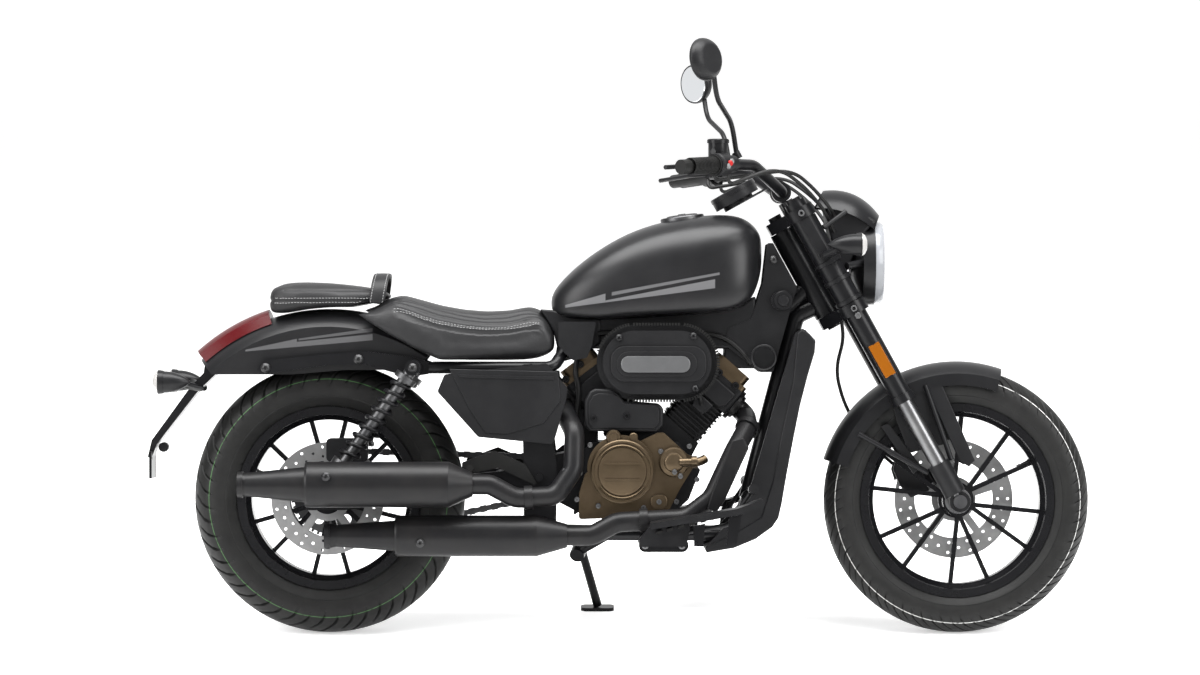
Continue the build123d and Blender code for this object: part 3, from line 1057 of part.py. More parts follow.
with BuildPart() as foot_levers:
    for side in (-1, 1):
        rod((786, side * (BOARD_IN - 13), 232), (786, side * (BOARD_IN + 10 - GAP), 232), 9)
        pipe([(788, side * (BOARD_IN - 7), 233), (886, side * (BOARD_IN - 7), 250), (938, side * (BOARD_IN - 7), 326)],
             [30], 5)
        rod((938, side * (BOARD_IN - 10), 326), (938, side * (BOARD_IN + 56), 330), 11)
finish(foot_levers, "foot_levers")

with BuildPart() as pillion_pegs:
    for side in (-1, 1):
        low, high = sorted((side * (PLATE_Y + PLATE_T + GAP), side * (PLATE_Y + PLATE_T + 12)))
        plate([(440, 380), (470, 330), (380, 372), (300, 356), (300, 384), (372, 410)], low, high, 4)
        rod((318, side * (PLATE_Y + PLATE_T + 6), 368), (318, side * (PLATE_Y + PLATE_T + 40), 372), 8)
finish(pillion_pegs, "pillion_pegs")

with BuildPart() as rear_caliper:
    with BuildSketch(Plane(origin=(0, REAR_DISC_Y, REAR_TYRE_R), x_dir=(1, 0, 0), z_dir=(0, -1, 0)).offset(-15)) as block:
        with Locations((44, 108)):
            RectangleRounded(92, 52, 10)
    extrude(block.sketch, amount=30)
    with BuildSketch(Plane(origin=REAR, x_dir=(1, 0, 0), z_dir=(0, -1, 0)).offset(-REAR_DISC_Y - 4)) as slot:
        Circle(125 + 3)
    extrude(slot.sketch, amount=8, mode=Mode.SUBTRACT)
    rod((40, REAR_DISC_Y - 10, REAR_TYRE_R + 92), (40, -ARM_Y + 4, REAR_TYRE_R + 60), 8)
finish(rear_caliper, "rear_caliper")

CHAIN_W = 14.0
CHAIN_H = 12.0
LINK_L = 14.0
LINKS = 20
HIDDEN_LINKS = 3
SPAN = Vector(FRONT_SPROCKET_X, 0, PIVOT_Z - REAR_TYRE_R)
TILT = (SPROCKET_R - FRONT_SPROCKET_R) / SPAN.length
CHAIN_RUNS = []
for up in (-1, 1):
    off = SPAN.normalized() * TILT + Vector(-SPAN.Z, 0, SPAN.X).normalized() * up * (1 - TILT**2) ** 0.5
    reach = CHAIN_GAP + CHAIN_H / 2
    CHAIN_RUNS.append((LINKS, Vector(0, CHAIN_Y, REAR_TYRE_R) + off * (SPROCKET_R + reach),
                       Vector(FRONT_SPROCKET_X, CHAIN_Y, PIVOT_Z) + off * (FRONT_SPROCKET_R + reach)))
with BuildPart() as drive_chain:
    with BuildSketch(Plane.XZ.offset(-CHAIN_Y - CHAIN_W / 2)) as loop:
        for grow, mode in ((CHAIN_H, Mode.ADD), (0, Mode.SUBTRACT)):
            make_hull(
                [Edge.make_circle(SPROCKET_R + CHAIN_GAP + grow, Plane((0, REAR_TYRE_R, 0))),
                 Edge.make_circle(FRONT_SPROCKET_R + CHAIN_GAP + grow, Plane((FRONT_SPROCKET_X, PIVOT_Z, 0)))],
                mode=mode,
            )
    extrude(loop.sketch, amount=CHAIN_W)
    for links, start, end in CHAIN_RUNS:
        for place in range(links - HIDDEN_LINKS):
            middle = start + (end - start) * ((place + 0.5) / links)
            with Locations(Plane(origin=middle, x_dir=end - start, z_dir=(0, 1, 0))):
                Box(LINK_L, CHAIN_H + 3, CHAIN_W + 3)
finish(drive_chain, "drive_chain")

# ======================================================================================
# Side stand
# ======================================================================================
GROUND = Plane(PARKED.inverse())
with BuildPart() as side_stand:
    shank = (STAND_FOOT - STAND_PIVOT).normalized()
    rod(STAND_PIVOT + shank * 8, STAND_FOOT + GROUND.z_dir * 12, STAND_LEG_R)
    rod(STAND_PIVOT - STAND_AXIS * STAND_EYE_HALF, STAND_PIVOT + STAND_AXIS * STAND_EYE_HALF, STAND_EYE_R)
    bore(STAND_PIVOT - STAND_AXIS * 30, STAND_PIVOT + STAND_AXIS * 30, STAND_BOLT_R + RUNNING_FIT)
    with BuildSketch(Plane(origin=STAND_FOOT, x_dir=(1, 0, 0), z_dir=GROUND.z_dir)) as pad:
        RectangleRounded(76, 44, 14)
    extrude(pad.sketch, amount=8)
finish(side_stand, "side_stand")
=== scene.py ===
# %% [markdown]
# # A cruiser motorcycle, dressed
# The machine's hard shapes come ready from the CAD model. This lesson puts the rest on them: tread, padded
# seats, fins, bolts, lamps and cables, and a finish for every surface. Everything is in metres.

# %% The frame
import json
import math

import bpy
from mathutils import Matrix, Vector

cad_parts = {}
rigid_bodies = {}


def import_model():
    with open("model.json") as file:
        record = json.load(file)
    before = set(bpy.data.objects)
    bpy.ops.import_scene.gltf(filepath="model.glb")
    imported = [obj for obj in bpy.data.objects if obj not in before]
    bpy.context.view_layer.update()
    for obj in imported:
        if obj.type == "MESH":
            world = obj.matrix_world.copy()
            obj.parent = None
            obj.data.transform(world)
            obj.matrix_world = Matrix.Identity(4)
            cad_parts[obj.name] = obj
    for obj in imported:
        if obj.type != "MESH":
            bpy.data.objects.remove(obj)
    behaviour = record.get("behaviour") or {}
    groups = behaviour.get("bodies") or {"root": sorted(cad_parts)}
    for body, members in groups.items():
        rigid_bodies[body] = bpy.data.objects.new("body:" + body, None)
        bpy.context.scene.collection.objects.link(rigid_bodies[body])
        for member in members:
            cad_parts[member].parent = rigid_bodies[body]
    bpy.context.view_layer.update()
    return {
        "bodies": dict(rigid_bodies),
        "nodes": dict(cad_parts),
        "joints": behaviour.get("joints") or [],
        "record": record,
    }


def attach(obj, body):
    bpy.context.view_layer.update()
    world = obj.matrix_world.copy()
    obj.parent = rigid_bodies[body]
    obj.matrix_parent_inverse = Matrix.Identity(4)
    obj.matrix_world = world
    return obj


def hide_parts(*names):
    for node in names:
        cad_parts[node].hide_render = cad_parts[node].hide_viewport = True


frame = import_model()
NODES = frame["nodes"]
print("nodes in the frame:", len(NODES))

# %% [markdown]
# ## Working upright on a machine that leans
# A motorcycle is drawn upright, but it parks on its side stand, leaned to its left. Each piece is therefore
# modelled upright, x ahead of the rear axle, y to the rider's left and z up, and its mesh is leaned at the
# end. Lengths are written in millimetres, as on a workshop drawing, and `mm` turns them into metres.

# %% Two frames and how to go from one to the other
LEAN = math.radians(8)
RAKE = math.radians(28.9)
CENTRE_X, CONTACT_Y, CONTACT_DROP = 0.647, -0.17438, 0.00082
PARKED = Matrix.Translation((-CENTRE_X, CONTACT_Y, CONTACT_DROP)) @ Matrix.Rotation(-LEAN, 4, "X")
FRONT_AXLE = Vector((1.400, 0, 0.296))
REAR_AXLE = Vector((0, 0, 0.302))


def mm(*values):
    """A point or a size in metres, from millimetres."""
    if len(values) == 1:
        return values[0] / 1000
    return Vector([v / 1000 for v in values])


def fork(ahead, left, along):
    """A point on the fork, from millimetres ahead of its legs, to the left, and up along them."""
    slope = Vector((math.cos(RAKE), 0, math.sin(RAKE)))
    leg = Vector((-math.sin(RAKE), 0, math.cos(RAKE)))
    return FRONT_AXLE + slope * mm(ahead) + leg * mm(along) + Vector((0, mm(left), 0))


STEERED_UP = (fork(0, 0, 1) - fork(0, 0, 0)).normalized()
LEFT = Vector((0, 1, 0))
print("fork top at", tuple(round(v, 3) for v in fork(0, 0, 728)))

# %% [markdown]
# ## A few strokes of the pencil
# Most pieces start in the same ways: a line drawn point by point, a profile spun about an axle, an outline
# pulled to a thickness, or a row of rings bridged into a skin. Each helper does one of them with the
# operators that a modeller would click.

# %% Helpers that model
def fresh():
    """Leaves edit mode and deselects everything."""
    if bpy.context.object and bpy.context.object.mode != "OBJECT":
        bpy.ops.object.mode_set(mode="OBJECT")
    bpy.ops.object.select_all(action="DESELECT")


def pick(piece):
    """Selects one piece and makes it the active one."""
    fresh()
    piece.select_set(True)
    bpy.context.view_layer.objects.active = piece
    return piece


def edit(piece, mode="VERT"):
    """Opens a piece in edit mode with nothing selected."""
    pick(piece)
    bpy.ops.object.mode_set(mode="EDIT")
    bpy.ops.mesh.select_mode(type=mode)
    bpy.ops.mesh.select_all(action="DESELECT")


def choose(piece, test, part="polygons"):
    """Selects the faces, or the vertices, whose place passes a test, and goes back to edit mode."""
    bpy.ops.object.mode_set(mode="OBJECT")
    for item in getattr(piece.data, part):
        item.select = test(item)
    bpy.ops.object.mode_set(mode="EDIT")


def tidy(piece, smooth=None):
    """Merges doubles, turns faces outwards and shades smooth below an angle in degrees."""
    edit(piece)
    bpy.ops.mesh.select_all(action="SELECT")
    bpy.ops.mesh.remove_doubles(threshold=1e-5)
    bpy.ops.mesh.normals_make_consistent(inside=False)
    pick(piece)
    if smooth:
        bpy.ops.object.shade_smooth_by_angle(angle=math.radians(smooth))
    return piece


def finish_with(piece, kind, **settings):
    """Adds a modifier with its settings and applies it."""
    pick(piece)
    modifier = piece.modifiers.new(kind.title(), kind)
    for key, value in settings.items():
        setattr(modifier, key, value)
    bpy.ops.object.modifier_apply(modifier=modifier.name)
    return piece


def round_edges(piece, width, segments=2, angle=30):
    """Bevels every edge sharper than an angle in degrees, width in millimetres."""
    finish_with(piece, "BEVEL", width=mm(width), segments=segments, limit_method="ANGLE",
                angle_limit=math.radians(angle), use_clamp_overlap=True)
    pick(piece)
    bpy.ops.object.shade_smooth_by_angle(angle=math.radians(angle))
    return piece


def draw(name, points, closed=False):
    """A line drawn by extruding one vertex from point to point."""
    fresh()
    bpy.ops.mesh.primitive_plane_add(size=0.01)
    piece = bpy.context.object
    piece.name = name
    bpy.ops.object.mode_set(mode="EDIT")
    bpy.ops.mesh.select_all(action="SELECT")
    bpy.ops.mesh.merge(type="CENTER")
    bpy.ops.transform.translate(value=points[0])
    for here, there in zip(points, points[1:]):
        bpy.ops.mesh.extrude_region_move(TRANSFORM_OT_translate={"value": there - here})
    if closed:
        ends = {0, len(points) - 1}
        choose(piece, lambda v: v.index in ends, "vertices")
        bpy.ops.mesh.edge_face_add()
    bpy.ops.mesh.select_all(action="SELECT")
    return piece


def lathe(name, profile, centre=(0, 0, 0), axis=(0, 1, 0), steps=48, smooth=35):
    """Spins a profile of (along the axis, radius) in millimetres about an axis through the centre."""
    axis = Vector(axis).normalized()
    out = axis.orthogonal().normalized()
    centre = Vector(centre)
    points = [centre + axis * mm(along) + out * mm(radius) for along, radius in profile]
    piece = draw(name, points)
    bpy.ops.mesh.spin(steps=steps, angle=2 * math.pi, center=centre, axis=axis)
    return tidy(piece, smooth)


def slab(name, outline, thick, smooth=30):
    """Fills an outline of points and pulls it to a thickness, a vector."""
    piece = draw(name, outline, closed=True)
    bpy.ops.mesh.edge_face_add()
    bpy.ops.mesh.extrude_region_move(TRANSFORM_OT_translate={"value": thick})
    return tidy(piece, smooth)


def side_plate(name, outline, low, high, smooth=30):
    """A slab whose outline is (x, z) and that lies between two y's, all in millimetres."""
    return slab(name, [mm(x, low, z) for x, z in outline], mm(0, high - low, 0), smooth)


def skin(name, rings, caps=True, smooth=60):
    """Bridges closed rings of points, each with the same count, into one skin."""
    loops = []
    for ring in rings:
        loops.append(draw(f"{name}_ring", ring, closed=True))
    fresh()
    for loop in loops:
        loop.select_set(True)
    bpy.context.view_layer.objects.active = loops[0]
    bpy.ops.object.join()
    piece = bpy.context.object
    piece.name = name
    bpy.ops.object.mode_set(mode="EDIT")
    bpy.ops.mesh.select_all(action="SELECT")
    bpy.ops.mesh.bridge_edge_loops()
    if caps:
        bpy.ops.mesh.select_all(action="DESELECT")
        bpy.ops.mesh.select_mode(type="EDGE")
        bpy.ops.mesh.select_non_manifold()
        bpy.ops.mesh.edge_face_add()
    return tidy(piece, smooth)


def tube(name, points, radius, bend=4, sides=16, order=3):
    """A round tube along a smooth curve through control points, radius in millimetres."""
    fresh()
    bpy.ops.curve.primitive_nurbs_path_add()
    line = bpy.context.object
    line.name = name
    spline = line.data.splines[0]
    spline.points.add(max(0, len(points) - len(spline.points)))
    while len(spline.points) > len(points):
        line.data.splines.clear()
        spline = line.data.splines.new("NURBS")
        spline.points.add(len(points) - 1)
    for control, place in zip(spline.points, points):
        control.co = (*place, 1)
    spline.order_u = order
    spline.use_endpoint_u = True
    spline.resolution_u = bend
    line.data.dimensions = "3D"
    line.data.bevel_depth = mm(radius)
    line.data.bevel_resolution = max(0, sides // 4 - 1)
    line.data.use_fill_caps = True
    pick(line)
    bpy.ops.object.convert(target="MESH")
    return tidy(bpy.context.object, 60)


def weld(name, pieces):
    """Joins pieces into one object."""
    fresh()
    for piece in pieces:
        piece.select_set(True)
    bpy.context.view_layer.objects.active = pieces[0]
    if len(pieces) > 1:
        bpy.ops.object.join()
    piece = bpy.context.object
    piece.name = name
    piece.data.name = name
    return piece


def copy_to(source, place, facing=(0, 0, 1), turn=0.0, size=1.0):
    """A copy, with its own mesh, of a piece modelled at the origin facing +Z."""
    copy = source.copy()
    copy.data = source.data.copy()
    bpy.context.scene.collection.objects.link(copy)
    spin = Vector(facing).to_track_quat("Z", "Y").to_matrix().to_4x4()
    moved = Matrix.Translation(Vector(place)) @ spin @ Matrix.Rotation(turn, 4, "Z") @ Matrix.Scale(size, 4)
    copy.data.transform(moved)
    return copy


def throw_away(*pieces):
    """Deletes the masters that copies were made from."""
    fresh()
    for piece in pieces:
        piece.select_set(True)
    bpy.ops.object.delete()


# %% [markdown]
# ## Shader sums written as sums
# A material is a graph of nodes, but a line such as `mask * 0.5 + grain` is easier to read than three boxes
# and four wires. `Wire` holds one socket, and each operator on it adds the Math node that it stands for.
# `Finish` starts a material and makes any other node by its type, its settings and its sockets.

# %% The material kit
class Wire:
    """A socket that sums can be written on."""

    def __init__(self, tree, socket):
        self.tree, self.socket = tree, socket

    def sum(self, operation, *values):
        node = self.tree.nodes.new("ShaderNodeMath")
        node.operation = operation
        for place, value in enumerate(values):
            if isinstance(value, Wire):
                self.tree.links.new(value.socket, node.inputs[place])
            else:
                node.inputs[place].default_value = value
        return Wire(self.tree, node.outputs[0])

    def __add__(self, other):
        return self.sum("ADD", self, other)

    def __sub__(self, other):
        return self.sum("SUBTRACT", self, other)

    def __mul__(self, other):
        return self.sum("MULTIPLY", self, other)

    def __truediv__(self, other):
        return self.sum("DIVIDE", self, other)

    def __radd__(self, other):
        return self.sum("ADD", other, self)

    def __rsub__(self, other):
        return self.sum("SUBTRACT", other, self)

    def __rmul__(self, other):
        return self.sum("MULTIPLY", other, self)

    def __abs__(self):
        return self.sum("ABSOLUTE", self)

    def __pow__(self, other):
        return self.sum("POWER", self, other)

    def step(self, low, high):
        """Goes from 0 at low to 1 at high, and stays between them."""
        node = self.tree.nodes.new("ShaderNodeMapRange")
        self.tree.links.new(self.socket, node.inputs["Value"])
        node.inputs["From Min"].default_value = low
        node.inputs["From Max"].default_value = high
        return Wire(self.tree, node.outputs[0])


class Finish:
    """One material and its shader."""

    def __init__(self, name, colour, rough, metal=0.0, **shader):
        self.material = bpy.data.materials.new(name)
        self.material.use_nodes = True
        self.tree = self.material.node_tree
        self.shader = self.tree.nodes["Principled BSDF"]
        self.set("Base Color", (*colour, 1))
        self.set("Roughness", rough)
        self.set("Metallic", metal)
        for key, value in shader.items():
            self.set(key.replace("_", " "), value)

    def set(self, socket, value):
        place = self.shader.inputs[socket]
        if isinstance(value, Wire):
            self.tree.links.new(value.socket, place)
        else:
            place.default_value = value

    def add(self, kind, settings=None, sockets=None, out=0):
        """Adds a node: its settings first, then the values or links of its sockets."""
        node = self.tree.nodes.new("ShaderNode" + kind)
        for key, value in (settings or {}).items():
            setattr(node, key, value)
        for key, value in (sockets or {}).items():
            if isinstance(value, Wire):
                self.tree.links.new(value.socket, node.inputs[key])
            else:
                node.inputs[key].default_value = value
        return Wire(self.tree, node.outputs[out])

    def place(self):
        """The surface's place in the leaned object, in metres."""
        return self.add("TexCoord", out="Object")

    def upright(self):
        """The surface's place on the upright machine, in metres."""
        back = PARKED.inverted()
        return self.add("Mapping", None, {"Vector": self.place(), "Location": back.translation,
                                          "Rotation": back.to_euler()})

    def around(self, centre, turn=(0, 0, 0)):
        """The place seen from a centre on the upright machine, and turned."""
        return self.add("Mapping", {"vector_type": "POINT"},
                        {"Vector": self.add("VectorMath", {"operation": "SUBTRACT"},
                                            {0: self.upright(), 1: Vector(centre)}), "Rotation": turn})

    def parts(self, vector):
        """The x, y and z of a vector."""
        node = self.tree.nodes.new("ShaderNodeSeparateXYZ")
        self.tree.links.new(vector.socket, node.inputs[0])
        return [Wire(self.tree, out) for out in node.outputs]

    def noise(self, scale, detail=3, where=None, rough=0.5):
        return self.add("TexNoise", None, {"Vector": where or self.place(), "Scale": scale, "Detail": detail,
                                           "Roughness": rough})

    def mix(self, mask, first, second):
        """First colour where the mask is 0, second where it is 1."""
        def colour(value):
            return value if isinstance(value, Wire) else (*value, 1)
        node = self.tree.nodes.new("ShaderNodeMix")
        node.data_type = "RGBA"
        for place, value in ((0, mask), (6, colour(first)), (7, colour(second))):
            if isinstance(value, Wire):
                self.tree.links.new(value.socket, node.inputs[place])
            else:
                node.inputs[place].default_value = value
        return Wire(self.tree, node.outputs[2])

    def bump(self, height, depth, strength=1.0, under=None):
        """Bumps the surface by a height, depth in metres."""
        sockets = {"Height": height, "Distance": depth, "Strength": strength}
        if under:
            sockets["Normal"] = under
        normal = self.add("Bump", None, sockets)
        self.set("Normal", normal)
        return normal


FINISHES = {}


def dress(piece, finish):
    """Gives all of a piece one finish."""
    piece.data.materials.clear()
    piece.data.materials.append(FINISHES[finish].material)


MADE = []


def fit(piece, body, slot, finish, instead_of=()):
    """Leans a finished piece with the machine. Says its body, slot, finish and the nodes it stands for. The
    slot is not used.
    """
    pick(piece)
    bpy.ops.object.transform_apply(location=True, rotation=True, scale=True)
    piece.data.transform(PARKED)
    piece.data.update()
    dress(piece, finish)
    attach(piece, body)
    if instead_of:
        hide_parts(*([instead_of] if isinstance(instead_of, str) else instead_of))
    MADE.append(piece)
    fresh()
    return piece

# %% [markdown]
# ## The studio
# The camera looks square at the machine's middle plane, so it is tipped by the lean, through a long lens that
# keeps the two sides almost the same size. A pale floor and a white paper fill the picture, and soft lamps
# stand above and in front, as in a catalogue studio, because dark satin paint shows its shape only by what it
# reflects.

# %% Camera, floor and lamps
SENSOR, LENS = 36.0, 123.3
VIEW_POINT, VIEW_DISTANCE = mm(604, 0, 659), 9.2

camera_data = bpy.data.cameras.new("camera")
camera_data.lens, camera_data.sensor_width = LENS, SENSOR
camera_data.clip_end = 200
camera = bpy.data.objects.new("camera", camera_data)
bpy.context.scene.collection.objects.link(camera)
square_on = Matrix.Translation(VIEW_POINT - LEFT * VIEW_DISTANCE) @ Matrix.Rotation(math.pi / 2, 4, "X")
camera.matrix_world = PARKED @ square_on
bpy.context.scene.camera = camera

fresh()
bpy.ops.mesh.primitive_plane_add(size=160)
floor = bpy.context.object
floor.name = "studio_floor"
FINISHES["studio"] = Finish("studio_floor", (0.94, 0.94, 0.94), 0.9)
FINISHES["studio"].set("Specular IOR Level", 0.0)
FINISHES["studio"].set("Emission Color", (1, 1, 1, 1))
FINISHES["studio"].set("Emission Strength", 0.44)
dress(floor, "studio")
FINISHES["paper"] = Finish("studio_paper", (0, 0, 0), 1.0)
FINISHES["paper"].set("Specular IOR Level", 0.0)
FINISHES["paper"].set("Emission Color", (1, 1, 1, 1))
FINISHES["paper"].set("Emission Strength", 1.15)
bpy.ops.mesh.primitive_plane_add(size=60, location=(0, 24, 29), rotation=(math.pi / 2, 0, 0))
paper = bpy.context.object
paper.name = "studio_paper"
bpy.ops.object.transform_apply(location=True, rotation=True, scale=True)
dress(paper, "paper")


def lamp(name, place, aim, wide, tall, power):
    """A soft rectangular lamp at a place, pointed at another, in metres and watts."""
    light = bpy.data.lights.new(name, "AREA")
    light.shape, light.size, light.size_y, light.energy = "RECTANGLE", wide, tall, power
    holder = bpy.data.objects.new(name, light)
    bpy.context.scene.collection.objects.link(holder)
    holder.location = place
    holder.rotation_euler = (Vector(aim) - Vector(place)).to_track_quat("-Z", "Y").to_euler()


lamp("top_softbox", (0.0, -0.6, 3.4), (0, 0.1, 0.5), 4.2, 1.8, 430)
lamp("front_softbox", (2.9, -2.2, 2.0), (0.4, 0, 0.6), 1.6, 2.2, 130)
lamp("back_softbox", (-2.8, -2.0, 1.9), (-0.4, 0, 0.6), 1.6, 2.2, 120)
lamp("side_fill", (0.0, -5.5, 2.2), (0, 0, 0.5), 5.0, 2.0, 30)

world = bpy.data.worlds.new("studio")
bpy.context.scene.world = world
world.use_nodes = True
world.node_tree.nodes["Background"].inputs["Color"].default_value = (1, 1, 1, 1)
world.node_tree.nodes["Background"].inputs["Strength"].default_value = 0.24
bpy.context.scene.view_settings.view_transform = "Standard"
print("camera stands at", tuple(round(v, 2) for v in camera.matrix_world.translation))

# %% [markdown]
# ## Finishes
# The machine is nearly all black, but no two blacks are alike: satin paint on tank and fenders, finer satin
# on tubes, a soft grain on moulded plastic, sandy black on the castings, and rubber. Each gets its own gloss,
# a faint cloudiness in its gloss, and its own grain at the real scale. Bronze, steel and chrome stand out.

# %% Paints, plastics and metals
def cloudy(finish, rough, spread, scale=9.0):
    """Lets the gloss wander a little over the surface."""
    finish.set("Roughness", rough + (finish.noise(scale, 4) - 0.5) * spread)
    return finish


def dusty(finish, colour, lighter, scale=14.0):
    """Colour that is a little lighter in patches, as handled paint is."""
    patch = finish.noise(scale, 5, rough=0.65).step(0.35, 0.75)
    finish.set("Base Color", finish.mix(patch, colour, lighter))
    return finish


def grained(finish, size, depth, strength=0.6):
    """A fine even grain of a size and a depth in millimetres."""
    finish.bump(finish.noise(1 / mm(size), 2), mm(depth), strength)
    return finish


def plain_finishes():
    """Every finish that follows no single piece."""
    table = (
        # name, colour, lighter colour, roughness, spread, metal, grain size, grain depth
        ("satin_black", (0.0045, 0.0045, 0.005), (0.007, 0.007, 0.0075), 0.32, 0.10, 0.0, 0.9, 0.010),
        ("frame_black", (0.003, 0.003, 0.0035), (0.005, 0.005, 0.0055), 0.30, 0.14, 0.0, 1.6, 0.020),
        ("cast_black", (0.0035, 0.0035, 0.004), (0.008, 0.008, 0.0085), 0.42, 0.16, 0.0, 0.8, 0.050),
        ("rim_black", (0.003, 0.003, 0.0035), (0.005, 0.005, 0.0055), 0.26, 0.12, 0.0, 1.2, 0.012),
        ("plastic_black", (0.0045, 0.0045, 0.005), (0.0075, 0.0075, 0.008), 0.42, 0.10, 0.0, 0.7, 0.045),
        ("exhaust_black", (0.004, 0.004, 0.0045), (0.008, 0.0075, 0.0075), 0.38, 0.14, 0.0, 0.9, 0.030),
        ("bronze", (0.060, 0.043, 0.025), (0.088, 0.064, 0.040), 0.36, 0.16, 0.9, 0.7, 0.040),
        ("steel", (0.16, 0.16, 0.165), (0.24, 0.24, 0.24), 0.28, 0.16, 1.0, 1.1, 0.012),
        ("bolt_steel", (0.10, 0.10, 0.103), (0.15, 0.15, 0.15), 0.34, 0.12, 1.0, 0.9, 0.010),
        ("bolt_black", (0.012, 0.012, 0.013), (0.022, 0.022, 0.022), 0.34, 0.12, 0.7, 0.9, 0.010),
        ("dark_steel", (0.045, 0.045, 0.048), (0.09, 0.09, 0.09), 0.40, 0.18, 1.0, 0.9, 0.020),
        ("chrome", (0.60, 0.60, 0.61), (0.66, 0.66, 0.67), 0.09, 0.06, 1.0, 3.0, 0.002),
        ("rubber", (0.0035, 0.0035, 0.0035), (0.007, 0.007, 0.0065), 0.50, 0.14, 0.0, 0.6, 0.050),
        ("plate_grey", (0.075, 0.076, 0.078), (0.095, 0.096, 0.098), 0.34, 0.10, 0.6, 0.8, 0.010),
        ("bare_grey", (0.10, 0.10, 0.10), (0.13, 0.13, 0.13), 0.50, 0.10, 0.0, 0.8, 0.020),
        ("master_grey", (0.055, 0.055, 0.057), (0.075, 0.075, 0.077), 0.42, 0.12, 0.5, 0.8, 0.020),
        ("red_key", (0.22, 0.008, 0.008), (0.26, 0.012, 0.010), 0.42, 0.10, 0.0, 1.0, 0.010),
        ("lamp_silver", (0.60, 0.61, 0.63), (0.68, 0.69, 0.70), 0.24, 0.08, 1.0, 3.0, 0.004),
        ("gauge_glass", (0.010, 0.010, 0.012), (0.013, 0.013, 0.015), 0.07, 0.04, 0.0, 4.0, 0.002),
        ("hose_rubber", (0.005, 0.005, 0.005), (0.009, 0.009, 0.009), 0.42, 0.12, 0.0, 0.9, 0.020),
    )
    for name, colour, lighter, rough, spread, metal, size, depth in table:
        finish = Finish(name, colour, rough, metal)
        dusty(finish, colour, lighter)
        cloudy(finish, rough, spread)
        grained(finish, size, depth)
        if metal < 0.5:
            finish.set("Specular IOR Level", 0.14)
        FINISHES[name] = finish


plain_finishes()

# %% [markdown]
# Both brake discs carry rings left by a lathe, so their bump follows the distance from the axle. The signals'
# glass lets some light in, the red and amber lenses only a little, and the lamp's glass none.

# %% Turned steel, glass and lenses
def turned(name, centre, colour, rough, pitch=0.5):
    """Steel with lathe rings about a centre on the upright machine."""
    finish = Finish(name, colour, rough, 1.0)
    x, y, z = finish.parts(finish.around(centre))
    radius = (x * x + z * z) ** 0.5
    rings = finish.noise(1, 2, finish.add("CombineXYZ", None, {0: radius / mm(pitch), 1: 0.0, 2: 0.0}))
    finish.bump(rings, mm(0.02), 0.6)
    finish.set("Roughness", rough + rings * 0.2)
    finish.set("Base Color", finish.mix(finish.noise(60, 3), colour, tuple(c * 0.7 for c in colour)))
    FINISHES[name] = finish


turned("front_disc_steel", FRONT_AXLE, (0.24, 0.24, 0.24), 0.30)
turned("rear_disc_steel", REAR_AXLE, (0.24, 0.24, 0.24), 0.30)


def lens(name, colour, rough=0.06, through=0.85, shine=0.2):
    """Coloured or clear moulded lens with fine prisms inside."""
    finish = Finish(name, colour, rough, 0.0, Transmission_Weight=through, IOR=1.49,
                    Specular_IOR_Level=shine)
    prisms = finish.add("TexVoronoi", {"distance": "CHEBYCHEV"}, {"Vector": finish.upright(), "Scale": 260.0})
    finish.bump(prisms, mm(0.2), 0.3)
    FINISHES[name] = finish


lens("red_lens", (0.045, 0.001, 0.002), 0.22, through=0.1, shine=0.06)
lens("amber_lens", (0.16, 0.048, 0.002), 0.22, through=0.1, shine=0.06)
lens("signal_glass", (0.42, 0.41, 0.40), through=0.4)
lens("lamp_lens", (0.17, 0.175, 0.185), through=0.0)
mirror_face = Finish("mirror_face", (0.82, 0.84, 0.86), 0.03, 1.0)
mirror_face.bump(mirror_face.noise(12, 2), mm(0.05), 0.2)
FINISHES["mirror_face"] = mirror_face
print("finishes so far:", len(FINISHES))

# %% [markdown]
# ## Painted stripes
# The tank and the rear fender carry plain two-tone stripes, thin wedges that step once. A stripe is a mask
# made of straight edges in the side view: a point is inside where it is above one line and below another.

# %% Stripes on the tank and the rear fender
SOFT_EDGE = mm(0.4)


def above(finish, x, z, first, second):
    """1 above the line through two (x, z) points in millimetres, softened by SOFT_EDGE on both sides."""
    (x1, z1), (x2, z2) = first, second
    slope = (z2 - z1) / (x2 - x1)
    return (z - (x - mm(x1)) * slope - mm(z1)).step(-SOFT_EDGE, SOFT_EDGE)


def striped(name, stripes, rough, colour=(0.0045, 0.0045, 0.005), lighter=(0.007, 0.007, 0.0075)):
    """Satin paint with stripes, each (low line, high line, from x, to x, brightness)."""
    finish = Finish(name, colour, rough)
    x, y, z = finish.parts(finish.upright())
    patch = finish.noise(14, 5, rough=0.65).step(0.35, 0.75)
    paint = finish.mix(patch, colour, lighter)
    for low, high, start, end, tone in stripes:
        inside = above(finish, x, z, *low) * (1 - above(finish, x, z, *high))
        after = x.step(mm(start) - SOFT_EDGE, mm(start) + SOFT_EDGE)
        before = 1 - x.step(mm(end) - SOFT_EDGE, mm(end) + SOFT_EDGE)
        inside = inside * after * before
        paint = finish.mix(inside, paint, (tone, tone, tone * 1.03))
    finish.set("Base Color", paint)
    finish.set("Roughness", rough + (finish.noise(9, 4) - 0.5) * 0.10)
    grained(finish, 0.9, 0.010)
    finish.set("Specular IOR Level", 0.20)
    FINISHES[name] = finish


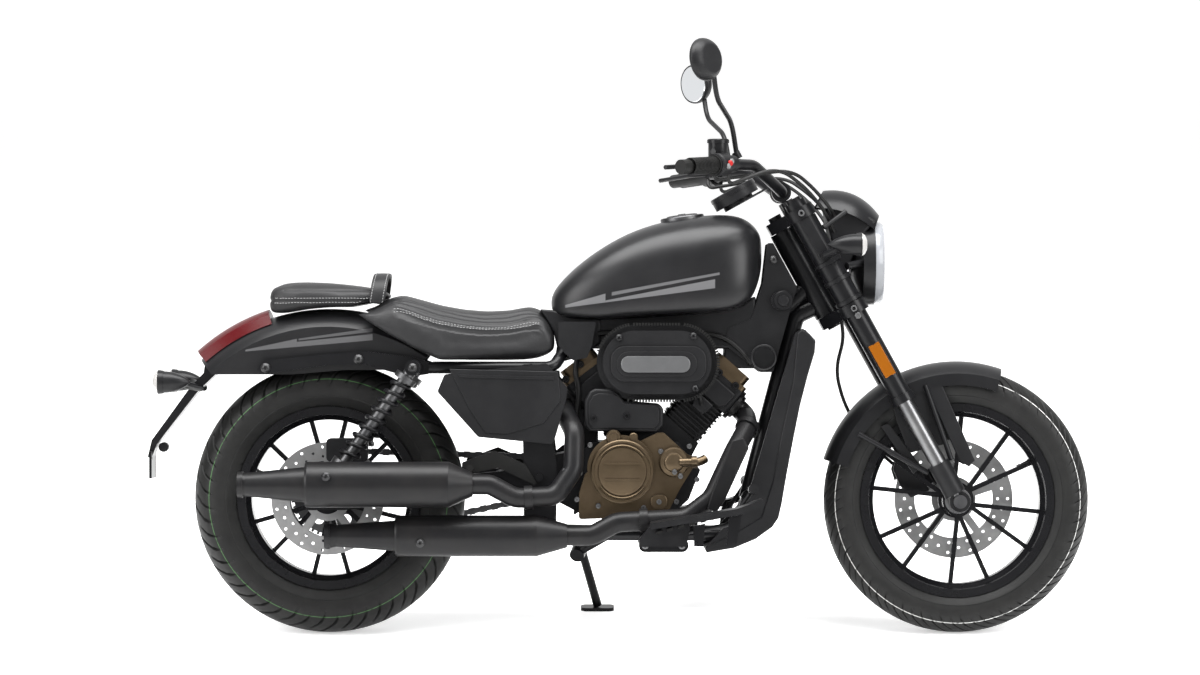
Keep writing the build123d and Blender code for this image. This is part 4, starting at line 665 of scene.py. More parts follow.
striped("tank_paint", (
    (((535, 726), (842, 766)), ((527, 731), (616, 756)), 527, 616, 0.075),
    (((535, 726), (842, 766)), ((638, 745), (865, 789)), 616, 858, 0.075),
    (((638, 753), (867, 797)), ((624, 758), (869, 803)), 630, 868, 0.060),
), 0.33)
striped("fender_paint", (
    (((-172, 629), (98, 653)), ((-186, 631), (-68, 656)), -182, -68, 0.050),
    (((-172, 629), (98, 653)), ((-61, 650), (103, 667)), -68, 100, 0.050),
    (((-60, 653), (100, 672)), ((-67, 656), (100, 680)), -64, 100, 0.042),
), 0.34)
print("striped finishes made")

# %% [markdown]
# ## The CAD nodes get their finishes
# Every solid whose shape is right stays as it is, and only its material slots change.

# %% Finish of each CAD node
NODE_FINISH = {
    "rim_black": "front_rim rear_rim",
    "rubber": "front_tyre rear_tyre grips pillion_pegs",
    "hose_rubber": "cables",
    "front_disc_steel": "front_disc",
    "rear_disc_steel": "rear_disc",
    "dark_steel": "shock_dampers rear_sprocket drive_chain front_axle rear_axle fuel_cap",
    "satin_black": "front_fender lamp_cowl headlamp front_signals rear_signals",
    "frame_black": "yokes fork_tubes handlebar frame swingarm shock_springs fender_struts plate_holder "
                   "side_stand",
    "bolt_steel": "fork_sliders",
    "cast_black": "fork_feet engine_case cylinders front_caliper rear_caliper footboards foot_levers "
                  "radiator",
    "bronze": "clutch_cover head_covers",
    "plastic_black": "controls mirrors gauge air_cleaner intake_cover side_covers head_cowls front_cowl "
                     "rider_seat pillion_seat grab_strap neck_covers",
    "exhaust_black": "exhaust_pipes silencers",
    "tank_paint": "fuel_tank",
    "fender_paint": "rear_fender",
    "red_lens": "tail_lamp",
    "lamp_lens": "headlamp_lens",
}
for finish_name, names in NODE_FINISH.items():
    for name in names.split():
        dress(NODES[name], finish_name)
print("nodes without a finish:", sorted(set(NODES) - set(" ".join(NODE_FINISH.values()).split())))

# %% [markdown]
# ## Tyres
# A road tyre has a smooth sidewall and a round crown with curved cuts that let water out. Its profile is spun
# about the axle in as many steps as the cuts need edges. The columns of the mesh are then swept into a curve,
# so the cuts follow them, and the columns that lie in a cut are pressed in. A few edges give crisp tread.

# %% Tread pressed into a spun tyre
from mathutils.kdtree import KDTree

CROWN_ANGLE, CROWN_STEP = 42, 3
SIDEWALL = ((0.886, 0.242), (0.947, 0.314), (0.986, 0.386), (1.0, 0.457), (0.999, 0.529), (0.971, 0.619),
            (0.950, 0.664), (0.962, 0.673), (0.954, 0.686), (0.921, 0.717), (0.829, 0.807), (0.750, 0.860))
# share of the pitch, and how far each of the two cuts is pressed in there
COLUMNS = ((0.00, 0, 0), (0.10, 0, 0), (0.13, 1, 0), (0.20, 1, 0), (0.23, 0, 0),
           (0.42, 0, 0), (0.60, 0, 0), (0.63, 0, 1), (0.69, 0, 1), (0.72, 0, 0))
TYRE_WALL, FLANGE, TYRE_GAP = 11, 13, 0.3


def tyre_profile(radius, width, seat, bead, crown):
    """The closed outline of a tyre's wall as (across, radius), and how many points of it are outside."""
    height = radius - seat
    half = []
    for angle in range(0, CROWN_ANGLE + 1, CROWN_STEP):
        turn = math.radians(angle)
        half.append((crown * math.sin(turn), radius - crown * (1 - math.cos(turn))))
    half += [(width / 2 * wide, radius - height * deep) for wide, deep in SIDEWALL]
    half.append((bead / 2 - TYRE_GAP, seat + FLANGE + TYRE_GAP))
    outside = len(half)
    half += [(bead / 2 - TYRE_GAP, seat + TYRE_GAP), (bead / 2 - TYRE_WALL, seat + TYRE_GAP),
             (width / 2 - TYRE_WALL, radius - 0.5 * height), (0, radius - TYRE_WALL)]
    other = [(-across, r) for across, r in reversed(half[:-1])]
    return half + other, outside


def treaded(name, axle, radius, width, seat, bead, crown, pitches, depth, sweep):
    profile, outside = tyre_profile(radius, width, seat, bead, crown)
    steps = pitches * len(COLUMNS)
    piece = lathe(name, profile, axle, steps=steps, smooth=None)
    tree = KDTree(len(profile))
    for place, (across, r) in enumerate(profile):
        tree.insert((mm(across), mm(r), 0), place)
    tree.balance()
    out = LEFT.orthogonal().normalized()
    side_way = LEFT.cross(out)
    last = len(profile) - 1
    for vertex in piece.data.vertices:
        arm = vertex.co - axle
        r = math.hypot(arm.x, arm.z)
        angle = math.atan2(arm.dot(side_way), arm.dot(out))
        _, place, _ = tree.find((arm.y, r, 0))
        rank = min(place, last - place)
        if rank >= outside - 1:
            continue
        reach = rank / (CROWN_ANGLE / CROWN_STEP)
        column = round(angle / (2 * math.pi) * steps) % steps
        pitch, slot = divmod(column, len(COLUMNS))
        share, long_cut, short_cut = COLUMNS[slot]
        pressed = long_cut * max(0, min(1, (1.20 - reach) / 0.1, (reach - 0.14) / 0.14))
        pressed += short_cut * max(0, min(1, (1.27 - reach) / 0.1, (reach - 0.62) / 0.14))
        curve = sweep * min(reach, 1.3) ** 1.4
        turned_to = 2 * math.pi / pitches * (pitch + share + curve)
        direction = out * math.cos(turned_to) + side_way * math.sin(turned_to)
        inward = mm(depth) * pressed
        lean_in = 0.25 * inward * min(reach, 1.3) * (1 if arm.y > 0 else -1)
        vertex.co = axle + direction * (r - inward) + LEFT * (arm.y - lean_in)
    return tidy(piece, 28)


def tyre_rubber(name, axle, line_r, line_tone):
    """Rubber with faint mould rings on the sidewall and a thin paint line round the shoulder."""
    finish = Finish(name, (0.0035, 0.0035, 0.0035), 0.52)
    finish.set("Specular IOR Level", 0.16)
    x, y, z = finish.parts(finish.around(axle))
    radius = (x * x + z * z) ** 0.5
    scuffed = finish.noise(22, 5, rough=0.7).step(0.3, 0.8)
    rubber = finish.mix(scuffed, (0.0035, 0.0035, 0.0035), (0.008, 0.008, 0.0075))
    line = 1 - abs(radius - mm(line_r)).step(mm(0.5), mm(0.9))
    worn = finish.noise(90, 3).step(0.30, 0.45)
    finish.set("Base Color", finish.mix(line * worn, rubber, line_tone))
    finish.set("Roughness", 0.50 + (finish.noise(30, 3) - 0.5) * 0.2)
    rings = (radius / mm(1.6)).sum("SINE", radius / mm(0.42))
    sidewall = (mm(line_r) - radius).step(mm(8), mm(14))
    under = finish.bump(rings * sidewall, mm(0.12), 0.5)
    finish.bump(finish.noise(900, 2), mm(0.06), 0.5, under)
    FINISHES[name] = finish


tyre_rubber("front_tyre_rubber", FRONT_AXLE, 273, (0.42, 0.42, 0.41))
tyre_rubber("rear_tyre_rubber", REAR_AXLE, 265, (0.035, 0.090, 0.030))
front_tread = treaded("front_tread", FRONT_AXLE, 296, 116, 203.2, 84, 68, 37, 4.2, 0.85)
fit(front_tread, "front_wheel", "tyre", "front_tyre_rubber", "front_tyre")
rear_tread = treaded("rear_tread", REAR_AXLE, 302, 140, 190.5, 102, 84, 26, 6.0, -0.62)
fit(rear_tread, "rear_wheel", "tyre", "rear_tyre_rubber", "rear_tyre")
print("tread faces:", len(front_tread.data.polygons), len(rear_tread.data.polygons))

# %% [markdown]
# ## The tank
# The tank is the machine's best curve, so it is skinned again with more sections than the solid has, and
# subdivided, which gives reflections that flow. Each row is a section: where it stands, its lowest and
# highest point and its half width. The ring's points are shares of that height and width.

# %% A skin of sections
TANK_SECTIONS = ((495, 727, 745, 34), (501, 714, 763, 58), (520, 704, 788, 80), (562, 699, 828, 101),
                 (629, 698, 874, 118), (700, 703, 907, 129), (780, 708, 926, 133), (860, 713, 935, 131),
                 (915, 722, 932, 119), (944, 746, 914, 99), (960, 792, 893, 70), (965, 826, 874, 40))
TANK_RING = ((0.0, 0.0), (0.42, 0.0), (0.80, 0.0), (0.94, 0.045), (1.0, 0.18), (1.01, 0.36), (0.985, 0.56),
             (0.90, 0.74), (0.74, 0.88), (0.50, 0.965), (0.24, 0.995))


def tank_ring(x, low, high, half):
    right = [(share * half, low + lift * (high - low)) for share, lift in TANK_RING]
    whole = right + [(0, high)] + [(-y, z) for y, z in reversed(right[1:])]
    return [mm(x, y, z) for y, z in whole]


tank = skin("tank_skin", [tank_ring(*section) for section in TANK_SECTIONS], smooth=180)
finish_with(tank, "SUBSURF", levels=2, render_levels=2)
pick(tank)
bpy.ops.object.shade_smooth()
fit(tank, "chassis", "tank_paint", "tank_paint", "fuel_tank")
print("tank faces:", len(tank.data.polygons))

# %% [markdown]
# The filler cap is a turned lid that lies along the slope of the tank, with a rim, a lock and its cover.

# %% Filler cap
CAP_PLACE, CAP_UP = mm(788, 0, 926), Vector((-0.13, 0, 1)).normalized()
cap = lathe("cap_lid", [(-8, 0), (-8, 48), (1, 49), (3, 48), (4.2, 46), (4.2, 42), (3.2, 41), (3.2, 37),
                        (6.4, 34), (7.4, 30), (7.6, 16), (7.0, 0)], CAP_PLACE, CAP_UP, 64)
lock = lathe("cap_lock", [(6, 0), (6, 9), (9.2, 8.6), (9.6, 7.6), (9.6, 0)], CAP_PLACE, CAP_UP, 24)
weld("filler_cap", [cap, lock])
fit(cap, "chassis", "steel", "dark_steel", "fuel_cap")

# %% [markdown]
# ## Seats
# A motorcycle seat is foam under a stretched cover: it bulges between its seams and is flat underneath.
# Each one starts as a skin of sections a little too small, is remeshed evenly, and is then blown up as cloth
# with its underside pinned, which is what the foam does to the cover. Ribs, seams and thread come after,
# because the remesh would wipe them out.

# %% Blow up, cap and smooth a pad
VOXEL, PRESSURE, LAST_FRAME = 5.0, 4.0, 20


def along(table, x, column):
    """A value of a table of rows (x, values...) between its rows, in a straight line between them."""
    for before, after in zip(table, table[1:]):
        if x <= after[0]:
            share = max(0, (x - before[0]) / (after[0] - before[0]))
            return before[column] + (after[column] - before[column]) * share
    return table[-1][column]


def upright_of(point):
    return point * 1000


def puff(piece, pinned, cap):
    """Remeshes a pad, blows it up as cloth and holds each point within a cap in millimetres."""
    finish_with(piece, "REMESH", mode="VOXEL", voxel_size=mm(VOXEL), use_smooth_shade=True)
    edit(piece)
    bpy.ops.mesh.select_all(action="SELECT")
    bpy.ops.mesh.vertices_smooth(factor=0.5, repeat=6)
    pick(piece)
    start = [v.co.copy() for v in piece.data.vertices]
    group = piece.vertex_groups.new(name="pinned")
    group.add([v.index for v in piece.data.vertices if pinned(upright_of(v.co))], 1.0, "REPLACE")
    cloth = piece.modifiers.new("cover", "CLOTH")
    cloth.settings.vertex_group_mass = "pinned"
    cloth.settings.use_pressure = True
    cloth.settings.uniform_pressure_force = PRESSURE
    cloth.settings.effector_weights.gravity = 0
    cloth.settings.quality = 5
    cloth.point_cache.frame_end = LAST_FRAME
    for step in range(1, LAST_FRAME + 1):
        bpy.context.scene.frame_set(step)
    bpy.ops.object.modifier_apply(modifier=cloth.name)
    piece.vertex_groups.clear()
    bpy.context.scene.frame_set(1)
    moved = 0.0
    for vertex, was in zip(piece.data.vertices, start):
        shift = vertex.co - was
        if shift.length > mm(cap):
            vertex.co = was + shift * (mm(cap) / shift.length)
        moved = max(moved, (vertex.co - was).length)
    edit(piece)
    bpy.ops.mesh.select_all(action="SELECT")
    bpy.ops.mesh.vertices_smooth(factor=0.5, repeat=4)
    finish_with(piece, "SUBSURF", levels=1, render_levels=1)
    pick(piece)
    bpy.ops.object.shade_smooth()
    print(piece.name, "swelled by", round(moved * 1000, 1), "mm, faces", len(piece.data.polygons))


def press(piece, depth_at):
    """Moves points inwards along their normals by a depth in millimetres that depends on their place."""
    normals = [v.normal.copy() for v in piece.data.vertices]
    for vertex, normal in zip(piece.data.vertices, normals):
        vertex.co -= normal * mm(depth_at(upright_of(vertex.co)))


def dip(distance, width):
    """1 on a line, falling to 0 at a distance of a width."""
    return max(0.0, 1 - (distance / width) ** 2)


# %% Leather with grain, and thread
def leather(name, colour, lighter):
    finish = Finish(name, colour, 0.48)
    finish.set("Specular IOR Level", 0.20)
    worn = finish.noise(7, 5, rough=0.6).step(0.3, 0.8)
    finish.set("Base Color", finish.mix(worn, colour, lighter))
    finish.set("Roughness", 0.46 + worn * 0.10)
    cells = finish.add("TexVoronoi", {"feature": "DISTANCE_TO_EDGE"},
                       {"Vector": finish.place(), "Scale": 620.0})
    under = finish.bump(cells.step(0.0, 0.10), mm(0.10), 0.45)
    finish.bump(finish.noise(45, 4), mm(0.5), 0.35, under)
    FINISHES[name] = finish


leather("leather", (0.007, 0.007, 0.0075), (0.012, 0.012, 0.0125))
leather("strap_leather", (0.005, 0.005, 0.0055), (0.009, 0.009, 0.0095))
thread = Finish("thread", (0.16, 0.16, 0.16), 0.7)
twist = thread.add("TexWave", None, {"Vector": thread.place(), "Scale": 420.0, "Distortion": 1.0})
thread.bump(twist, mm(0.2), 0.6)
thread.set("Base Color", thread.mix(twist, (0.12, 0.12, 0.12), (0.22, 0.22, 0.22)))
FINISHES["thread"] = thread

bpy.ops.mesh.primitive_uv_sphere_add(segments=8, ring_count=6, radius=1)
stitch = bpy.context.object
stitch.name = "stitch_master"
stitch.scale = (mm(0.75), mm(0.75), mm(2.6))
bpy.ops.object.transform_apply(location=False, rotation=False, scale=True)


def sew(name, pad, route, every=7.0, lift=0.35):
    """Lays stitches on a pad's surface along a route of points, given in millimetres."""
    stitches, carry = [], 0.0
    points = [mm(*p) for p in route]
    for here, there in zip(points, points[1:]):
        length = (there - here).length
        while carry < length:
            target = here.lerp(there, carry / length)
            _, place, normal, _ = pad.closest_point_on_mesh(target)
            course = (there - here).normalized()
            course = (course - normal * course.dot(normal)).normalized()
            stitches.append(copy_to(stitch, place + normal * mm(lift), course))
            carry += mm(every)
        carry -= length
    return weld(name, stitches)


# %% [markdown]
# The rider's seat is broad and high at its back, dished where the rider sits, and narrow at the tank. Its top
# panel is sewn to the sides along a line just below the edge, and three ribs run beside that line.

# %% The rider's seat
# x, top, bottom, half width
SEAT_SECTIONS = ((64, 717, 709, 100), (84, 723, 697, 116), (112, 732, 680, 126), (142, 748, 662, 133),
                 (160, 750, 653, 137), (200, 739, 631, 142), (250, 725, 609, 141), (300, 716, 609, 133),
                 (350, 712, 609, 122), (400, 714, 609, 110), (440, 722, 610, 101), (468, 723, 614, 95),
                 (488, 703, 622, 91), (502, 672, 634, 86))
FENDER_R, FENDER_HALF = 422.5, 94


def fender_top(x):
    """How high the rear fender's crown is at x, in millimetres, with room for a pad above it."""
    return REAR_AXLE.z * 1000 + math.sqrt(max(0, FENDER_R ** 2 - x ** 2))


def seat_ring(x, top, bottom, half):
    """One section of the seat: a crown, a round shoulder, a side tucked in, and a notch for the fender."""
    floor_z = min(max(fender_top(x), bottom), top - 3)
    notch = min(FENDER_HALF, half - 8)
    height = top - bottom
    right = [(0, floor_z), (notch * 0.6, floor_z), (notch, floor_z), (notch + 2, bottom + 1),
             (half * 0.92, bottom), (half * 0.975, bottom + 0.10 * height), (half, bottom + 0.36 * height),
             (half * 0.975, bottom + 0.60 * height), (half * 0.90, top - 27 * min(1, height / 60)),
             (half * 0.80, top - 17 * min(1, height / 60)), (half * 0.62, top - 9 * min(1, height / 60)),
             (half * 0.36, top - 3), (0, top)]
    return [mm(x, y, z) for y, z in right + [(-y, z) for y, z in reversed(right[1:-1])]]


rider_seat = skin("rider_pad", [seat_ring(*section) for section in SEAT_SECTIONS])
puff(rider_seat, lambda p: p.z < along(SEAT_SECTIONS, p.x, 2) + 8 or abs(p.y) < FENDER_HALF + 3
     and p.z < fender_top(p.x) + 6, 6)
SEAM_SHARE, RIB_SHARES, RIB_DROP = 0.905, (0.80, 0.70, 0.60), 3.0


def seat_line(x, share):
    """A point of a line that runs the length of the seat, at a share of its half width, on the top side."""
    half, top = along(SEAT_SECTIONS, x, 3), along(SEAT_SECTIONS, x, 1)
    return half * share, top - 27 * (share / 0.9) ** 3


def seat_press(p):
    if not 146 < p.x < 480:
        return 0
    half = along(SEAT_SECTIONS, p.x, 3) + 3
    top = along(SEAT_SECTIONS, p.x, 1)
    if p.z < top - 48:
        return 0
    ends = min(1, (p.x - 146) / 14, (480 - p.x) / 14)
    share = abs(p.y) / half
    depth = 2.6 * dip((share - SEAM_SHARE) * half, 5)
    for rib in RIB_SHARES:
        depth = max(depth, RIB_DROP * dip((share - rib) * half, 6.5))
    return depth * ends


press(rider_seat, seat_press)
seams = []
for side in (-1, 1):
    for offset in (-0.030, 0.030):
        route = []
        for x in range(150, 478, 8):
            y, z = seat_line(x, SEAM_SHARE + offset)
            route.append((x, side * (y + 3), z))
        seams.append(sew("seat_row", rider_seat, route))
seat_thread = weld("seat_thread", seams)
fit(rider_seat, "chassis", "seat_cover", "leather", "rider_seat")
fit(seat_thread, "chassis", "seat_cover", "thread")

# %% [markdown]
# The passenger's pad is a small cushion with a seam low on its side, held down at its front by a strap that
# stands up as a loop, so that a hand can go under it.

# %% The passenger's pad and its strap
PAD_SECTIONS = ((-131, 762, 720, 54), (-124, 773, 713, 67), (-98, 779, 712, 78), (-50, 780, 716, 84),
                (0, 778, 727, 84), (50, 773, 727, 84), (96, 768, 736, 80), (124, 762, 744, 72),
                (138, 756, 748, 60))
PAD_SEAM_Z = 741


def pad_ring(x, top, bottom, half):
    bottom = max(bottom, fender_top(x) + 1)
    height = top - bottom
    right = [(0, bottom), (half * 0.60, bottom), (half * 0.90, bottom + 0.02 * height),
             (half * 0.98, bottom + 0.2 * height), (half, bottom + 0.45 * height),
             (half * 0.96, bottom + 0.70 * height), (half * 0.82, bottom + 0.88 * height),
             (half * 0.5, bottom + 0.97 * height), (0, top)]
    return [mm(x, y, z) for y, z in right + [(-y, z) for y, z in reversed(right[1:-1])]]


pillion = skin("pillion_pad", [pad_ring(*section) for section in PAD_SECTIONS])
puff(pillion, lambda p: p.z < max(along(PAD_SECTIONS, p.x, 2), fender_top(p.x)) + 6, 5)


def pad_press(p):
    if p.x > 118 or p.z > 765:
        return 0
    return 2.4 * dip(p.z - PAD_SEAM_Z, 4.5) + 1.6 * dip(p.z - (PAD_SEAM_Z + 24), 4) * (p.x > -100)


press(pillion, pad_press)
seams = []
for side in (-1, 1):
    for offset in (-4, 4):
        route = [(x, side * (along(PAD_SECTIONS, x, 3) + 4), PAD_SEAM_Z + offset)
                 for x in range(-120, 112, 8)]
        seams.append(sew("pad_row", pillion, route))
pad_thread = weld("pad_thread", seams)
fit(pillion, "chassis", "seat_cover", "leather", "pillion_seat")
fit(pad_thread, "chassis", "seat_cover", "thread")

STRAP_X, STRAP_WIDE, STRAP_THICK = 108, 38, 3.6
# (y, z) of the loop's right half, from its foot at the pad's edge to its top
STRAP_ROUTE = ((86, 733), (86.5, 750), (80, 772), (62, 789), (34, 797), (0, 799))


def strap_ring(y, z, out_y, out_z):
    lean_x = (z - 733) * 0.16
    ring = []
    for dx, lift in ((-0.5, 0), (0.5, 0), (0.5, 1), (0.25, 1.2), (0, 1.25), (-0.25, 1.2), (-0.5, 1)):
        ring.append(mm(STRAP_X + lean_x + dx * STRAP_WIDE, y + out_y * lift * STRAP_THICK,
                       z + out_z * lift * STRAP_THICK))
    return ring


route = list(STRAP_ROUTE) + [(-y, z) for y, z in reversed(STRAP_ROUTE[:-1])]
rings = []
for place, (y, z) in enumerate(route):
    before, after = route[max(0, place - 1)], route[min(len(route) - 1, place + 1)]
    course = Vector((after[0] - before[0], after[1] - before[1])).normalized()
    rings.append(strap_ring(y, z, course.y, -course.x))
strap = skin("grab_strap", rings, smooth=50)
finish_with(strap, "SUBSURF", levels=2, render_levels=2)
pick(strap)
bpy.ops.object.shade_smooth()
rows = []
for shift in (-13, 13):
    spots = [(STRAP_X + (z - 733) * 0.16 + shift, y * 1.03, z + 4) for y, z in route]
    rows.append(sew("strap_row", strap, spots, 6.5))
strap_thread = weld("strap_thread", rows)
fit(strap, "chassis", "seat_cover", "strap_leather", "grab_strap")
fit(strap_thread, "chassis", "seat_cover", "thread")
throw_away(stitch)

# %% [markdown]
# ## Fasteners
# Screws sit all over the machine. One socket head and one dome head are turned at the origin, and every other
# one is a copy of them, moved to its place and turned to face outwards.

# %% One screw, many copies
socket_head = lathe("socket_head", [(-2, 0), (-2, 5.6), (3.2, 5.6), (4.0, 5.0), (4.2, 3.2), (1.4, 2.8),
                                    (1.2, 0)], axis=(0, 0, 1), steps=18)
dome_head = lathe("dome_head", [(-2, 0), (-2, 7.2), (0.6, 7.2), (2.6, 5.6), (3.8, 2.6), (2.4, 2.2), (2.2, 0)],
                  axis=(0, 0, 1), steps=18)


def screws(name, body, slot, finish, spots, head=None, facing=(0, -1, 0), size=1.0):
    """Copies of a screw head at (x, y, z) spots in millimetres, joined into one piece."""
    heads = [copy_to(head or socket_head, mm(*spot), facing, turn * 0.7, size)
             for turn, spot in enumerate(spots)]
    return fit(weld(name, heads), body, slot, finish)


def rounded(x1, z1, x2, z2, corner, steps=5):
    """The (x, z) outline of a rectangle with round corners, all in millimetres."""
    spots = []
    for cx, cz, start in ((x2 - corner, z2 - corner, 0), (x1 + corner, z2 - corner, 90),
                          (x1 + corner, z1 + corner, 180), (x2 - corner, z1 + corner, 270)):
        for step in range(steps + 1):
            turn = math.radians(start + 90 * step / steps)
            spots.append((cx + corner * math.cos(turn), cz + corner * math.sin(turn)))
    return spots


# %% [markdown]
# ## The engine's right side
# The air cleaner carries a stepped recess with a blank plate and a toothed band round its edge. The intake
# cover has a step and two screws. The clutch cover is a ribbed drum with a filler cap, a water pump and its
# pipe. All of it is bolted on, so it is built on top of the solids that carry it.

# %% Air cleaner and intake cover
frame = side_plate("recess_frame", rounded(628, 562, 838, 640, 30), -147.5, -143)
round_edges(frame, 1.6)
inner = side_plate("recess_floor", rounded(641, 573, 818, 628, 26), -149.5, -146)
round_edges(inner, 1.2)
fit(weld("cleaner_recess", [frame, inner]), "chassis", "black_plastic", "plastic_black")
plate = side_plate("cleaner_plate", rounded(650, 582, 803, 618, 17), -152.2, -148)
round_edges(plate, 1.2)
fit(plate, "chassis", "steel", "plate_grey")
teeth = []
for step in range(64):
    turn = math.radians(-100 + 262 * step / 63)
    side = 50 if math.cos(turn) > 0 else -50
    spot = (731 + side + 84.5 * math.cos(turn), 604 + 84.5 * math.sin(turn))
    if abs(math.cos(turn)) < 0.12 and step % 2:
        continue
    tooth = side_plate("tooth", ((-4, -2), (3, -2), (3, 2), (-4, 2)), -136, -124)
    tooth.data.transform(Matrix.Translation(mm(spot[0], 0, spot[1])) @ Matrix.Rotation(-turn, 4, "Y"))
    teeth.append(tooth)
for step in range(15):
    for z in (688.5, 519.5):
        teeth.append(side_plate("tooth", ((684 + step * 6.6, z - 3), (688 + step * 6.6, z - 3),
                                          (688 + step * 6.6, z + 3), (684 + step * 6.6, z + 3)), -136, -124))
fit(weld("cleaner_teeth", teeth), "chassis", "black_plastic", "rubber")
screws("cleaner_screws", "chassis", "black_steel", "frame_black",
       ((646, -144, 658), (810, -144, 662), (814, -144, 546)), dome_head, size=1.15)
INTAKE = ((570, 463), (581, 452), (731, 450), (744, 466), (744, 503), (734, 513), (656, 519), (645, 535),
          (630, 545), (593, 546), (581, 540), (570, 519))
shell = side_plate("intake_shell", INTAKE, -130, -63)
round_edges(shell, 5, 3)
centre_x, centre_z = 657, 490
low = [(centre_x + (x - centre_x) * 0.90, centre_z + (z - centre_z) * 0.82) for x, z in INTAKE]
panel = side_plate("intake_panel", low, -133, -128)
round_edges(panel, 1.8, 3)
fit(weld("intake_shell", [shell, panel]), "chassis", "black_plastic", "plastic_black", "intake_cover")
screws("intake_screws", "chassis", "black_steel", "frame_black", ((590, -133, 481), (663, -133, 486)),
       size=1.3)

# %% Clutch cover, water pump and case screws
CLUTCH = mm(653, -158, 364)
drum = lathe("clutch_drum", [(3, 70), (-2, 70), (-4.5, 67.5), (-4.5, 63), (-2.5, 62), (-2.5, 54),
                             (-5.5, 52.5), (-6.5, 49), (-6.5, 0)], CLUTCH, (0, 1, 0), 96)
ridges = [side_plate("ridge", rounded(612, z - 2.6, 694, z + 2.6, 2.4, 3), -168.5, -164) for z in (346, 382)]
arcs = []
for low, high in ((35, 145), (215, 325)):
    points = [CLUTCH + mm(58 * math.cos(math.radians(t)), -5, 58 * math.sin(math.radians(t)))
              for t in range(low, high + 1, 10)]
    arcs.append(tube("clutch_arc", points, 2.4, 3, 8))
fit(weld("clutch_drum", [drum, *ridges, *arcs]), "chassis", "bronze", "bronze")
oil_cap = lathe("oil_cap", [(8, 17), (-6, 17), (-9, 15), (-9, 9), (-13, 8.6), (-13, 0)], mm(634, -146, 439),
                (0, 1, 0), 24)
boss = lathe("case_boss", [(8, 10), (-3, 10), (-5, 8), (-5, 0)], mm(678, -146, 439), (0, 1, 0), 20)
pump = lathe("pump", [(14, 33), (-8, 33), (-12, 30), (-14, 22), (-20, 20), (-22, 16), (-22, 0)],
             mm(767, -140, 384), (0, 1, 0), 40)
pump_pipe = tube("pump_pipe", [mm(780, -156, 384), mm(800, -158, 385), mm(822, -156, 384),
                               mm(836, -146, 392)], 10, 6, 14)
pump_neck = lathe("pump_neck", [(-6, 12), (-6, 13.5), (6, 13.5), (6, 12)], mm(812, -157, 385), (1, 0, 0.05),
                  24)
fit(weld("water_pump", [oil_cap, boss, pump, pump_pipe, pump_neck]), "chassis", "bronze", "bronze")
ear = side_plate("case_ear", rounded(716, 282, 752, 312, 12), -150, -132)
round_edges(ear, 1.5)
fit(ear, "chassis", "bronze", "bronze")
screws("case_screws", "chassis", "steel", "bolt_steel",
       ((738, -140, 408), (801, -138, 419), (768, -163, 363), (781, -163, 354), (818, -138, 346),
        (582, -140, 422), (773, -138, 297), (553, -138, 302), (600, -140, 288), (700, -142, 284),
        (734, -151, 297), (560, -138, 360)), size=1.05)
screws("head_screws", "chassis", "black_steel", "frame_black",
       ((869, -62, 581), (864, -62, 523), (905, -62, 552), (560, -62, 600), (590, -62, 560), (528, -62, 566)),
       size=1.5)
screws("head_screws_left", "chassis", "black_steel", "bolt_black",
       ((869, 62, 581), (864, 62, 523), (905, 62, 552), (560, 62, 600), (590, 62, 560), (528, 62, 566)),
       facing=(0, 1, 0), size=1.5)

# %% [markdown]
# The cylinders lean about 40 degrees fore and aft. Fins ring the barrels; the heads carry covers, a spark
# plug lead and the flange where the header starts. A shield covers the header's straight run.

# %% Fins, heads and header
def bank(lean, across, along, left):
    """A place on a cylinder that leans by an angle, in millimetres from the crank."""
    turn = math.radians(lean)
    return mm(BANK_X + along * math.sin(turn) + across * math.cos(turn), left,
              BANK_Z + along * math.cos(turn) - across * math.sin(turn))


BANK_X, BANK_Z = 720, 385
fins, lids, leads = [], [], []
for lean, front in ((-37, -1), (41, 1)):
    for step in range(9):
        along = 101 + step * 9.4
        corners = [bank(lean, across, along, left) for across, left in
                   ((-42, -66), (42, -66), (51, -57), (51, 57), (42, 66), (-42, 66), (-51, 57), (-51, -57))]
        thick = bank(lean, 0, along + 3, 0) - bank(lean, 0, along, 0)
        fins.append(slab("fin", corners, thick))
    for left in (-1, 1):
        corners = [bank(lean, across, along, left * 63) for across, along in
                   ((-40, 186), (34, 186), (44, 200), (44, 232), (-46, 232), (-50, 204))]
        lids.append(round_edges(slab("head_lid", corners, mm(0, left * 9, 0)), 3, 3))
        corners = [bank(lean, across, along, left * 70) for across, along in
                   ((-14, 150), (16, 150), (22, 166), (22, 182), (-22, 182), (-22, 166))]
        lids.append(round_edges(slab("plug_box", corners, mm(0, left * 10, 0)), 3, 3))
        leads.append(tube("lead", [bank(lean, 0, 166, left * 80), bank(lean, -12 * front, 176, left * 92),
                                   bank(lean, -40 * front, 200, left * 86),
                                   bank(lean, -60 * front, 232, left * 60)], 4.2, 5, 10))
fit(weld("cylinder_fins", fins), "chassis", "black_alloy", "cast_black")
fit(weld("head_lids", lids), "chassis", "black_alloy", "cast_black")
fit(weld("plug_leads", leads), "chassis", "rubber", "hose_rubber")
guard = slab("header_guard", [mm(x, -206, z) for x, z in ((892, 434), (918, 440), (930, 418), (876, 300),
                                                          (858, 276), (838, 284), (846, 312))], mm(0, -7, 0))
guard = round_edges(guard, 6, 4)
cuff = lathe("header_cuff", [(-7, 23), (-7, 27), (7, 27), (7, 23)], mm(931, -98, 460), (-0.3, -0.6, -0.5), 32)
wide_cuff = [(-9, 22), (-9, 26), (9, 26), (9, 22)]
cuff_low = lathe("header_cuff", wide_cuff, mm(700, -190, 258), (1, 0, 0.05), 32)
cuff_up = lathe("header_cuff", wide_cuff, mm(448, -220, 309), (1, 0, 0.05), 32)
ports = []
